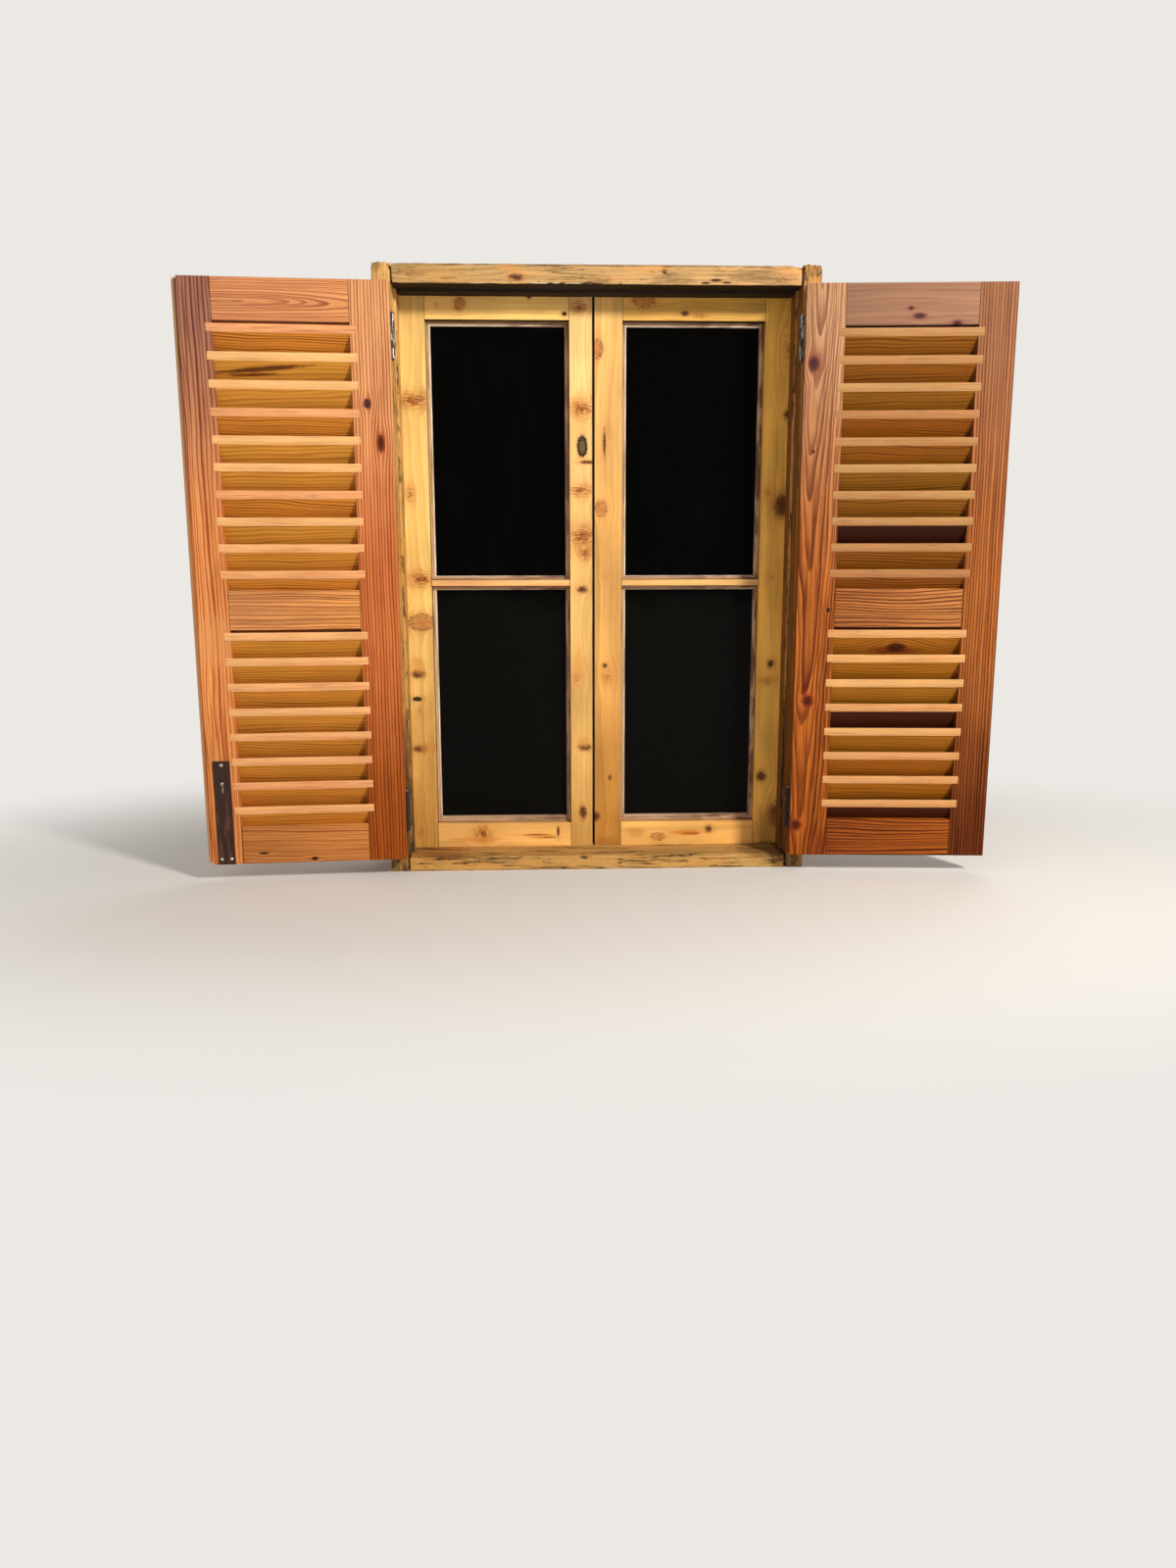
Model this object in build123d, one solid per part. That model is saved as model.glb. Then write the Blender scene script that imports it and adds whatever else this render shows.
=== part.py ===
from build123d import *
import math
import os

# A pair of louvred shutters on their window frame, with its two casement sashes.
# Millimetres. X runs to the right seen from outside, Y into the room, Z up.
# The origin is the middle of the frame's underside.
# The shutters are drawn closed and then swung out to where they rest.

# Frame
opening_width = 790.0
opening_height = 1123.0
jamb_face = 35.0
head_face = 36.0
sill_face = 29.0
jamb_horn = 5.0
shutter_rebate_depth = 50.0
stop_width = 5.0
stop_depth = 41.0
sash_cover = 13.0
sill_upstand = 10.0
left_open_joint = 3.0
right_open_joint = 4.5
open_joint_depth = 40.0
frame_tenon_length = 22.0
frame_tenon_thickness = 25.0
frame_tenon_margin = 7.0
worn_arris = 4.0

# Shutter leaves
leaf_thickness = 35.0
leaf_side_gap = 4.0
leaf_top_gap = 4.0
leaf_bottom_gap = 9.0
lap_overlap = 10.0
lap_clearance = 2.0
lap_face_gap = 1.0
hinge_stile_width = 74.0
free_stile_width = 71.0
top_rail_height = 76.0
mid_rail_height = 76.0
bottom_rail_height = 76.0
lower_louvre_height = 390.0
leaf_tenon_length = 45.0
leaf_tenon_thickness = 12.0
leaf_tenon_low_margin = 8.0
leaf_tenon_high_margin = 20.0
rail_lip_height = 12.0
rail_lip_thickness = 12.0
leaf_rest_angle = 176.0

# Slats, sloping down from the room side to the outside
upper_slat_count = 10
lower_slat_count = 8
slat_angle = 60.0
slat_edge_height = 15.0
slat_housing = 11.5
first_slat_drop = 4.5
upper_last_slat_gap = 22.5
lower_last_slat_gap = 26.0

# Shutter hinges
shutter_hinge_height = 84.0
shutter_hinge_inset = 92.0
shutter_knuckle_radius = 5.0
shutter_pin_radius = 2.5
shutter_flap_thickness = 2.0
shutter_flap_width = 24.0
shutter_knuckle_count = 5
shutter_screw_spacing = 28.0
shutter_screw_count = 3

# Sash hinges
sash_hinge_height = 60.0
sash_hinge_inset = 150.0
sash_knuckle_radius = 4.0
sash_pin_radius = 2.0
sash_flap_thickness = 1.2
sash_flap_width = 22.0
sash_knuckle_count = 3
sash_screw_spacing = 40.0
sash_screw_count = 2

# Fits shared by both kinds of hinge
knuckle_clearance = 0.4
knuckle_relief = 0.2
pin_clearance = 0.05
pin_head_height = 1.5
pin_head_overhang = 1.0

# Countersunk hinge screws
screw_head_radius = 3.6
screw_shank_radius = 1.8
screw_length = 20.0
seat_gap = 0.1

# Slide bolt on the left leaf
plate_width = 33.0
plate_height = 210.0
plate_thickness = 2.5
plate_let_in = 1.5
plate_edge_distance = 10.5
bolt_width = 10.0
bolt_thickness = 6.0
bolt_length = 172.0
bolt_travel = 18.0
bolt_retracted = 1.0
bolt_clearance = 0.3
keeper_clearance = 1.5
keeper_depth = 14.0
knob_from_bolt_top = 8.0
knob_neck_radius = 2.0
knob_head_radius = 4.2
knob_rim_height = 2.0
knob_dome_height = 3.0
knob_stand_off = 1.5
plate_screw_head_radius = 3.5
plate_screw_head_height = 2.0
plate_screw_shank_radius = 1.6
plate_screw_length = 12.0
plate_screw_top_inset = 8.0
plate_screw_bottom_inset = 11.0
plate_screw_side_offset = 9.5

# Sashes
sash_thickness = 38.0
sash_face_gap = 1.0
sash_edge_gap = 3.0
outer_stile_width = 59.5
left_meeting_stile_width = 45.5
right_meeting_stile_width = 55.5
meeting_gap = 5.0
meeting_gap_offset = -5.5
meeting_bevel = 2.15
sash_top_rail_height = 53.0
sash_bottom_rail_height = 57.0
glazing_bar_face = 12.5
glazing_bar_set_back = 1.0
glazing_bar_drop = 2.5
glass_rebate_width = 9.0
foot_rebate_width = 13.0
bar_rebate_width = 8.0
glass_rebate_depth = 29.0
glass_thickness = 3.0
glass_edge_gap = 1.0
bead_thickness = 10.0
bead_chamfer = 1.5
sash_tenon_length = 32.0
sash_tenon_thickness = 12.0
sash_tenon_margin = 9.0
bar_tenon_length = 12.0
bar_tenon_thickness = 10.0

# Turn latch on the room side of the right sash
latch_plate_width = 24.0
latch_plate_height = 60.0
latch_plate_thickness = 2.5
latch_plate_corner = 6.0
latch_height = 560.0
latch_lever_width = 16.0
latch_lever_reach = 56.0
latch_lever_thickness = 4.0
latch_clearance = 0.4
latch_pivot_radius = 4.0
latch_pivot_clearance = 0.08
latch_cap_radius = 7.0
latch_cap_height = 3.0
latch_cap_taper = 1.0
latch_screw_spacing = 40.0
latch_screw_count = 2

# Planes across the frame's depth
frame_depth = shutter_rebate_depth + stop_depth + sash_face_gap + sash_thickness
front = -frame_depth / 2
stop_front = front + shutter_rebate_depth
stop_back = stop_front + stop_depth
sash_front = stop_back + sash_face_gap
back = frame_depth / 2

# Heights
sill_top = sill_face
head_bottom = sill_top + opening_height
head_top = head_bottom + head_face
jamb_top = head_top + jamb_horn

# Left-hand places; the right-hand pieces are their mirror images
reveal = -opening_width / 2
jamb_outer = reveal - jamb_face
stop_edge = reveal + stop_width
sash_rebate_wall = stop_edge - sash_cover

# Leaf, closed
leaf_hinge_edge = reveal + leaf_side_gap
leaf_width = (opening_width - 2 * leaf_side_gap + lap_overlap) / 2
leaf_free_edge = leaf_hinge_edge + leaf_width
leaf_bottom = sill_top + leaf_bottom_gap
leaf_top = head_bottom - leaf_top_gap
leaf_outside = front
leaf_inside = front + leaf_thickness
lap_tongue = lap_overlap + lap_clearance
louvre_left = leaf_hinge_edge + hinge_stile_width
louvre_right = leaf_free_edge - free_stile_width
slat_drop = leaf_thickness * math.tan(math.radians(slat_angle))
bottom_rail_top = leaf_bottom + bottom_rail_height
mid_rail_bottom = bottom_rail_top + lower_louvre_height
mid_rail_top = mid_rail_bottom + mid_rail_height
top_rail_bottom = leaf_top - top_rail_height

# Hinge axes, left-hand
shutter_axis_x = (reveal + leaf_hinge_edge) / 2
shutter_axis_y = front - shutter_knuckle_radius
sash_edge = sash_rebate_wall + sash_edge_gap
sash_axis_x = (sash_rebate_wall + sash_edge) / 2
sash_axis_y = back + sash_knuckle_radius + knuckle_relief

# Sash heights
sash_bottom = sill_top - sill_upstand + sash_edge_gap
sash_rebate_top = head_bottom - stop_width + sash_cover
sash_top = sash_rebate_top - sash_edge_gap
sash_light_bottom = sash_bottom + sash_bottom_rail_height
sash_light_top = sash_top - sash_top_rail_height
glass_rebate_back = sash_front + glass_rebate_depth
bar_centre = (sash_light_bottom + sash_light_top) / 2 - glazing_bar_drop

# Bolt, with the leaf closed
plate_right = leaf_free_edge - lap_tongue - plate_edge_distance
plate_left = plate_right - plate_width
plate_centre = (plate_left + plate_right) / 2
plate_back = leaf_inside - plate_let_in
plate_front = plate_back + plate_thickness
bolt_bottom = leaf_bottom + bolt_retracted
bolt_front = plate_back - bolt_clearance
bolt_back = bolt_front - bolt_thickness
knob_height = bolt_bottom + bolt_length - knob_from_bolt_top

nodes = {}


def block(x0, x1, y0, y1, z0, z1):
    corner = (Align.MIN, Align.MIN, Align.MIN)
    return Pos(x0, y0, z0) * Box(x1 - x0, y1 - y0, z1 - z0, align=corner)


def along_x(points, x0, x1):
    section = Plane.YZ.offset(x0) * Polygon(*points, align=None)
    return extrude(section, x1 - x0, dir=(1, 0, 0))


def along_z(points, z0, z1):
    section = Plane.XY.offset(z0) * Polygon(*points, align=None)
    return extrude(section, z1 - z0, dir=(0, 0, 1))


def post(x, y, z0, z1, radius):
    upright = (Align.CENTER, Align.CENTER, Align.MIN)
    return Pos(x, y, z0) * Cylinder(radius, z1 - z0, align=upright)


def turned(points):
    section = Plane.XZ * make_face(Polyline(*points, close=True))
    return revolve(section, Axis.Z)


def facing(shape, origin, normal):
    return Plane(origin=origin, z_dir=normal) * shape


def mirrored(shape):
    return mirror(shape, about=Plane.YZ)


def group(shapes):
    return Compound(children=[solid for shape in shapes for solid in shape.solids()])


# Frame members

def jamb():
    section = [
        (jamb_outer, front), (reveal, front), (reveal, stop_front), (stop_edge, stop_front),
        (stop_edge, stop_back), (sash_rebate_wall, stop_back), (sash_rebate_wall, back),
        (jamb_outer, back),
    ]
    return along_z(section, 0, jamb_top)


def frame_tenon(z0, z1):
    """The left tenon of a head or sill rail, from its shoulder into the jamb."""
    middle = (front + stop_front) / 2
    half = frame_tenon_thickness / 2
    root = reveal + max(left_open_joint, right_open_joint)
    return block(reveal - frame_tenon_length, root, middle - half, middle + half,
                 z0 + frame_tenon_margin, z1 - frame_tenon_margin)


def cross_member(section, z0, z1):
    """A rail scribed to both jambs, with a tenon and an open front joint at each end."""
    rail = along_x(section, sash_rebate_wall, -sash_rebate_wall)
    rail = rail - jamb() - mirrored(jamb())
    rail = rail - open_joint(left_open_joint, z0, z1)
    rail = rail - mirrored(open_joint(right_open_joint, z0, z1))
    tenon = frame_tenon(z0, z1)
    return rail + tenon + mirrored(tenon)


def open_joint(width, z0, z1):
    """The gap that has opened at the front between a rail and the left jamb."""
    return block(reveal, reveal + width, front, front + open_joint_depth, z0, z1)


def head_rail():
    section = [
        (front, head_bottom), (stop_front, head_bottom), (stop_front, head_bottom - stop_width),
        (stop_back, head_bottom - stop_width), (stop_back, sash_rebate_top),
        (back, sash_rebate_top), (back, head_top), (front, head_top),
    ]
    return cross_member(section, head_bottom, head_top)


def sill_rail():
    section = [
        (front, 0), (back, 0), (back, sill_top - sill_upstand),
        (stop_back, sill_top - sill_upstand), (stop_back, sill_top),
        (front + worn_arris, sill_top), (front, sill_top - worn_arris),
    ]
    return cross_member(section, 0, sill_top)


# Shutter leaves

def slat(top):
    section = [
        (leaf_inside, top), (leaf_inside, top - slat_edge_height),
        (leaf_outside, top - slat_edge_height - slat_drop), (leaf_outside, top - slat_drop),
    ]
    return along_x(section, louvre_left - slat_housing, louvre_right + slat_housing)


def louvre(rail_below, rail_above, count, last_gap):
    first = rail_above - first_slat_drop
    last = rail_below + last_gap + slat_edge_height
    pitch = (first - last) / (count - 1)
    return [slat(first - number * pitch) for number in range(count)]


def bevelled_top(z1, last_gap):
    """The back of a rail's top edge, cut to lie under the slat above it."""
    start = leaf_inside - last_gap / math.tan(math.radians(slat_angle))
    return [(start, z1), (leaf_outside, z1 + last_gap - slat_drop)]


def lipped_foot(z0):
    """The underside of a rail over a louvre, with a lip that hides the gap above the slats."""
    inner = leaf_outside + rail_lip_thickness
    return [(leaf_outside, z0 - rail_lip_height), (inner, z0 - rail_lip_height), (inner, z0)]


def leaf_rail(foot, z0, z1, back_edge):
    """A rail with a stub tenon at each end. foot and back_edge end its section on the outside."""
    section = foot + [(leaf_inside, z0), (leaf_inside, z1)] + back_edge
    middle = (leaf_outside + leaf_inside) / 2
    half = leaf_tenon_thickness / 2
    tenon = block(louvre_left - leaf_tenon_length, louvre_right + leaf_tenon_length,
                  middle - half, middle + half,
                  z0 + leaf_tenon_low_margin, z1 - leaf_tenon_high_margin)
    return along_x(section, louvre_left, louvre_right) + tenon


def hinge_stile():
    return block(leaf_hinge_edge, louvre_left, leaf_outside, leaf_inside, leaf_bottom, leaf_top)


def free_stile(outer_lap):
    """The meeting stile, rebated so that one leaf's tongue lies over the other's."""
    middle = (leaf_outside + leaf_inside) / 2
    low = middle - lap_face_gap / 2
    high = middle + lap_face_gap / 2
    step = leaf_free_edge - lap_tongue
    if outer_lap:
        section = [
            (louvre_right, leaf_outside), (leaf_free_edge, leaf_outside), (leaf_free_edge, low),
            (step, low), (step, leaf_inside), (louvre_right, leaf_inside),
        ]
    else:
        section = [
            (louvre_right, leaf_outside), (step, leaf_outside), (step, high),
            (leaf_free_edge, high), (leaf_free_edge, leaf_inside), (louvre_right, leaf_inside),
        ]
    return along_z(section, leaf_bottom, leaf_top)


def leaf_pieces(outer_lap):
    upper = louvre(mid_rail_top, top_rail_bottom, upper_slat_count, upper_last_slat_gap)
    lower = louvre(bottom_rail_top, mid_rail_bottom, lower_slat_count, lower_last_slat_gap)
    top = leaf_rail(lipped_foot(top_rail_bottom), top_rail_bottom, leaf_top,
                    [(leaf_outside, leaf_top)])
    mid = leaf_rail(lipped_foot(mid_rail_bottom), mid_rail_bottom, mid_rail_top,
                    bevelled_top(mid_rail_top, upper_last_slat_gap))
    bottom = leaf_rail([(leaf_outside, leaf_bottom)], leaf_bottom, bottom_rail_top,
                       bevelled_top(bottom_rail_top, lower_last_slat_gap))
    let_in = upper + lower + [top, mid, bottom]
    return {
        "hinge_stile": hinge_stile() - let_in,
        "free_stile": free_stile(outer_lap) - let_in,
        "top_rail": top,
        "mid_rail": mid,
        "bottom_rail": bottom,
        "upper_slats": group(upper),
        "lower_slats": group(lower),
    }


# Butt hinges, drawn with the axis on Z and the timber towards +Y

def knuckle_spans(height, count, first, slack):
    """The low and high ends of every second knuckle, each end longer by slack."""
    step = height / count
    starts = [-height / 2 + number * step for number in range(first, count, 2)]
    return [(start - slack, start + step + slack) for start in starts]


def flap(height, width, thickness, gap, radius, bore, count, first):
    """One flap with its knuckles, cut away round the knuckles of the other flap."""
    half = knuckle_clearance / 2
    plate = block(gap / 2, gap / 2 + thickness, 0, radius + width, -height / 2, height / 2)
    for low, high in knuckle_spans(height, count, 1 - first, half):
        plate = plate - post(0, 0, low, high, radius + knuckle_clearance)
    for low, high in knuckle_spans(height, count, first, -half):
        plate = plate + post(0, 0, low, high, radius)
    return plate - post(0, 0, -height, height, bore)


def hinge_pin(height, radius):
    half = height / 2
    head = radius + pin_head_overhang
    cap = half + pin_head_height
    return turned([
        (0, -cap), (head, -cap), (head, -half), (radius, -half),
        (radius, half), (head, half), (head, cap), (0, cap),
    ])


def countersunk_screw(sink, extra=0.0):
    """A screw whose head fills a plate of thickness sink; extra makes the hole for it."""
    head = screw_head_radius + extra
    shank = screw_shank_radius + extra
    return turned([
        (0, 0), (head, 0), (shank, -sink), (shank, -screw_length - extra),
        (0, -screw_length - extra),
    ])


def shutter_hinge_heights():
    return [leaf_top - shutter_hinge_inset, leaf_bottom + shutter_hinge_inset]


def sash_hinge_heights():
    return [sash_top - sash_hinge_inset, sash_bottom + sash_hinge_inset]


def shutter_flap(first):
    bore = shutter_pin_radius + pin_clearance
    return flap(shutter_hinge_height, shutter_flap_width, shutter_flap_thickness, leaf_side_gap,
                shutter_knuckle_radius, bore, shutter_knuckle_count, first)


def sash_flap(first):
    bore = sash_pin_radius + pin_clearance
    return flap(sash_hinge_height, sash_flap_width, sash_flap_thickness, sash_edge_gap,
                sash_knuckle_radius, bore, sash_knuckle_count, first)


def screw_row(count, spacing, middle):
    first = middle - spacing * (count - 1) / 2
    return [first + number * spacing for number in range(count)]


def shutter_hinge_screws(x, normal, height, extra=0.0):
    """The row of screws that holds one shutter hinge flap to the timber at x."""
    y = front + shutter_flap_width / 2
    screw = countersunk_screw(shutter_flap_thickness, extra)
    heights = screw_row(shutter_screw_count, shutter_screw_spacing, height)
    return [facing(screw, (x, y, z), normal) for z in heights]


def sash_hinge_screws(x, normal, height, extra=0.0):
    """The row of screws that holds one sash hinge flap to the timber at x."""
    y = back - sash_flap_width / 2
    screw = countersunk_screw(sash_flap_thickness, extra)
    heights = screw_row(sash_screw_count, sash_screw_spacing, height)
    return [facing(screw, (x, y, z), normal) for z in heights]


def flap_pocket(x0, x1, y0, y1, height, hinge_height):
    return block(x0, x1, y0, y1, height - hinge_height / 2, height + hinge_height / 2)


# Slide bolt, with the left leaf closed

def dome(radius, height):
    """A shallow round cap that stands on the origin."""
    ball = (radius ** 2 + height ** 2) / (2 * height)
    return (Pos(0, 0, height - ball) * Sphere(ball)) & post(0, 0, 0, height, radius)


def dome_screw(extra=0.0):
    shank = post(0, 0, -plate_screw_length - extra, 0, plate_screw_shank_radius + extra)
    return shank + dome(plate_screw_head_radius, plate_screw_head_height)


def plate_screw_places():
    low = leaf_bottom + plate_screw_bottom_inset
    high = leaf_bottom + plate_height - plate_screw_top_inset
    return [
        (plate_centre, high), (plate_centre - plate_screw_side_offset, low),
        (plate_centre + plate_screw_side_offset, low),
    ]


def plate_screws(extra=0.0):
    return [facing(dome_screw(extra), (x, plate_front, z), (0, 1, 0)) for x, z in plate_screw_places()]


def bolt_plate():
    plate = block(plate_left, plate_right, plate_back, plate_front, leaf_bottom,
                  leaf_bottom + plate_height)
    half = knob_neck_radius + bolt_clearance
    slot = block(plate_centre - half, plate_centre + half, plate_back, plate_front,
                 knob_height - bolt_travel, knob_height)
    for z in (knob_height, knob_height - bolt_travel):
        eye = Cylinder(half, 4 * plate_thickness)
        slot = slot + facing(eye, (plate_centre, plate_back, z), (0, 1, 0))
    return plate - slot - plate_screws(seat_gap)


def slide_bolt():
    half = bolt_width / 2
    bar = block(plate_centre - half, plate_centre + half, bolt_back, bolt_front, bolt_bottom,
                bolt_bottom + bolt_length)
    eye = Cylinder(knob_neck_radius, 4 * bolt_thickness)
    return bar - facing(eye, (plate_centre, bolt_front, knob_height), (0, 1, 0))


def bolt_groove():
    half = bolt_width / 2 + bolt_clearance
    return block(plate_centre - half, plate_centre + half, bolt_back - bolt_clearance,
                 leaf_inside, leaf_bottom, bolt_bottom + bolt_length + bolt_clearance)


def bolt_knob():
    """A turned knob with its neck through the plate's slot and let into the bolt."""
    head = plate_front + knob_stand_off
    rim = head + knob_rim_height
    neck = post(0, 0, bolt_back, head, knob_neck_radius)
    disc = post(0, 0, head, rim, knob_head_radius)
    cap = Pos(0, 0, rim) * dome(knob_head_radius, knob_dome_height)
    return facing(neck + disc + cap, (plate_centre, 0, knob_height), (0, 1, 0))


def keeper_hole():
    half = bolt_width / 2 + keeper_clearance
    return block(plate_centre - half, plate_centre + half, bolt_back - keeper_clearance,
                 bolt_front + keeper_clearance, sill_top - keeper_depth, sill_top)


# Sashes

def sash_stile(edge, face_edge, bevel):
    """An upright with its glass rebate at face_edge. Its other edge leans out by bevel."""
    lip = face_edge + math.copysign(glass_rebate_width, face_edge - edge)
    back_edge = edge + math.copysign(bevel, edge - face_edge)
    section = [
        (edge, sash_front), (face_edge, sash_front), (face_edge, glass_rebate_back),
        (lip, glass_rebate_back), (lip, back), (back_edge, back),
    ]
    return along_z(section, sash_bottom, sash_top)


def sash_rail(edge, face_edge, rebate_width, left, right):
    """A rail with its glass rebate on the side of face_edge, tenoned at both ends."""
    lip = face_edge + math.copysign(rebate_width, face_edge - edge)
    section = [
        (sash_front, edge), (sash_front, face_edge), (glass_rebate_back, face_edge),
        (glass_rebate_back, lip), (back, lip), (back, edge),
    ]
    low, high = sorted((edge, face_edge))
    middle = (sash_front + glass_rebate_back) / 2
    half = sash_tenon_thickness / 2
    tenon = block(left - sash_tenon_length, right + sash_tenon_length, middle - half,
                  middle + half, low + sash_tenon_margin, high - sash_tenon_margin)
    return along_x(section, left, right), tenon


def glazing_bar(left, right):
    face = glazing_bar_face / 2
    lip = face + bar_rebate_width
    nose = sash_front + glazing_bar_set_back
    section = [
        (nose, bar_centre - face), (glass_rebate_back, bar_centre - face),
        (glass_rebate_back, bar_centre - lip), (back, bar_centre - lip),
        (back, bar_centre + lip), (glass_rebate_back, bar_centre + lip),
        (glass_rebate_back, bar_centre + face), (nose, bar_centre + face),
    ]
    middle = (sash_front + glass_rebate_back) / 2
    half = bar_tenon_thickness / 2
    tenon = block(left - bar_tenon_length, right + bar_tenon_length, middle - half, middle + half,
                  bar_centre - face, bar_centre + face)
    return along_x(section, left, right), tenon


def pane(left, right, low, high):
    return block(left + glass_edge_gap, right - glass_edge_gap,
                 glass_rebate_back - glass_thickness, glass_rebate_back,
                 low + glass_edge_gap, high - glass_edge_gap)


def bead_strip(length, width, start, end):
    """A glazing bead along X with its face towards -Y, mitred over start and end."""
    section = [
        (0, 0), (0, width), (bead_chamfer - bead_thickness, width),
        (-bead_thickness, width - bead_chamfer), (-bead_thickness, 0),
    ]
    outline = Polygon((0, 0), (length, 0), (length - end, width), (start, width), align=None)
    mitred = extrude(Plane.XZ * outline, bead_thickness, dir=(0, -1, 0))
    return along_x(section, 0, length) & mitred


def beads(left, right, low, high, foot, top):
    """Four beads round a pane; foot and top are the widths of the level ones."""
    seat = glass_rebate_back - glass_thickness
    side = glass_rebate_width
    return [
        Pos(left, seat, low) * bead_strip(right - left, foot, side, side),
        Pos(right, seat, high) * Rot(0, 180, 0) * bead_strip(right - left, top, side, side),
        Pos(left, seat, high) * Rot(0, 90, 0) * bead_strip(high - low, side, top, foot),
        Pos(right, seat, low) * Rot(0, -90, 0) * bead_strip(high - low, side, foot, top),
    ]


def sash_pieces(edge, stile_width, meeting_edge, meeting_width):
    """The pieces of the left sash, or of the right one seen in a mirror."""
    left = edge + stile_width
    right = meeting_edge - meeting_width
    outer = sash_stile(edge, left, 0)
    meeting = sash_stile(meeting_edge, right, meeting_bevel)
    top, top_tenon = sash_rail(sash_top, sash_light_top, glass_rebate_width, left, right)
    bottom, bottom_tenon = sash_rail(sash_bottom, sash_light_bottom, foot_rebate_width,
                                     left, right)
    bar, bar_tenon = glazing_bar(left, right)
    low_light = bar_centre - glazing_bar_face / 2
    high_light = bar_centre + glazing_bar_face / 2
    lights = [(sash_light_bottom, low_light), (high_light, sash_light_top)]
    lower_beads = beads(left, right, *lights[0], foot_rebate_width, bar_rebate_width)
    upper_beads = beads(left, right, *lights[1], bar_rebate_width, glass_rebate_width)
    tenons = [top_tenon, bottom_tenon, bar_tenon]
    return {
        "outer_stile": outer - tenons,
        "meeting_stile": meeting - tenons,
        "top_rail": (top - outer - meeting) + top_tenon,
        "bottom_rail": (bottom - outer - meeting) + bottom_tenon,
        "glazing_bar": (bar - outer - meeting) + bar_tenon,
        "lower_pane": pane(left, right, *lights[0]),
        "upper_pane": pane(left, right, *lights[1]),
        "beads": group(lower_beads + upper_beads),
    }


# Turn latch

def latch_centre():
    return meeting_gap_offset + meeting_gap / 2 + right_meeting_stile_width / 2


def latch_plate():
    outline = RectangleRounded(latch_plate_width, latch_plate_height, latch_plate_corner)
    upright = Plane(origin=(latch_centre(), back, latch_height), x_dir=(-1, 0, 0),
                    z_dir=(0, 1, 0))
    plate = upright * extrude(outline, latch_plate_thickness)
    return plate - latch_pivot(latch_pivot_clearance) - latch_screws(seat_gap)


def latch_screws(extra=0.0):
    y = back + latch_plate_thickness
    screw = countersunk_screw(latch_plate_thickness, extra)
    heights = screw_row(latch_screw_count, latch_screw_spacing, latch_height)
    return [facing(screw, (latch_centre(), y, z), (0, 1, 0)) for z in heights]


def latch_pivot(extra=0.0):
    """A shouldered pivot through the lever and the plate, with a round cap."""
    lever_front = latch_plate_thickness + latch_clearance
    lever_back = lever_front + latch_lever_thickness
    cap = lever_back + latch_clearance
    post_radius = latch_pivot_radius + extra
    pivot = turned([
        (0, 0), (post_radius, 0), (post_radius, cap), (latch_cap_radius, cap),
        (latch_cap_radius - latch_cap_taper, cap + latch_cap_height), (0, cap + latch_cap_height),
    ])
    return facing(pivot, (latch_centre(), back, latch_height), (0, 1, 0))


def latch_lever():
    half = latch_lever_width / 2
    start = latch_plate_thickness + latch_clearance
    grip = Pos(0, latch_lever_reach / 2) * Rectangle(latch_lever_width, latch_lever_reach)
    outline = grip + Circle(half) + Pos(0, latch_lever_reach) * Circle(half)
    outline = outline - Circle(latch_pivot_radius + latch_pivot_clearance)
    lever = extrude(outline, latch_lever_thickness)
    hanging = Plane(origin=(latch_centre(), back + start, latch_height), x_dir=(1, 0, 0),
                    z_dir=(0, 1, 0))
    return hanging * lever


# Assembly

def add(name, shape):
    nodes[name] = shape


def swung(shape, side):
    """Swing a closed left-hand or right-hand shape about its shutter's hinge axis."""
    x = side * abs(shutter_axis_x)
    axis = Axis((x, shutter_axis_y, 0), (0, 0, 1))
    return shape.rotate(axis, side * leaf_rest_angle)


def on_side(shape, side):
    return shape if side < 0 else mirrored(shape)


def add_frame():
    jamb_cuts = [frame_tenon(head_bottom, head_top), frame_tenon(0, sill_top)]
    for z in shutter_hinge_heights():
        jamb_cuts.append(flap_pocket(reveal - shutter_flap_thickness, reveal, front,
                                     front + shutter_flap_width, z, shutter_hinge_height))
        jamb_cuts += shutter_hinge_screws(reveal, (1, 0, 0), z, seat_gap)
    for z in sash_hinge_heights():
        jamb_cuts.append(flap_pocket(sash_rebate_wall - sash_flap_thickness, sash_rebate_wall,
                                     back - sash_flap_width, back, z, sash_hinge_height))
        jamb_cuts += sash_hinge_screws(sash_rebate_wall, (1, 0, 0), z, seat_gap)
    left = jamb() - jamb_cuts
    add("left_jamb", left)
    add("right_jamb", mirrored(left))
    add("head_rail", head_rail())
    add("sill_rail", sill_rail() - keeper_hole())


def add_leaf(name, side):
    outer_lap = side < 0
    pieces = leaf_pieces(outer_lap)
    cuts = []
    for z in shutter_hinge_heights():
        cuts.append(flap_pocket(leaf_hinge_edge, leaf_hinge_edge + shutter_flap_thickness,
                                front, front + shutter_flap_width, z, shutter_hinge_height))
        cuts += shutter_hinge_screws(leaf_hinge_edge, (-1, 0, 0), z, seat_gap)
    pieces["hinge_stile"] = pieces["hinge_stile"] - cuts
    if outer_lap:
        plate_pocket = block(plate_left, plate_right, plate_back, leaf_inside, leaf_bottom,
                             leaf_bottom + plate_height)
        pieces["free_stile"] = (pieces["free_stile"] - plate_pocket - bolt_groove()
                                - plate_screws(seat_gap))
    for piece, shape in pieces.items():
        add(name + "_shutter_" + piece, swung(on_side(shape, side), side))


def add_bolt():
    add("bolt_plate", swung(bolt_plate(), -1))
    add("slide_bolt", swung(slide_bolt(), -1))
    add("bolt_knob", swung(bolt_knob(), -1))
    add("bolt_plate_screws", swung(group(plate_screws()), -1))


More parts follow.
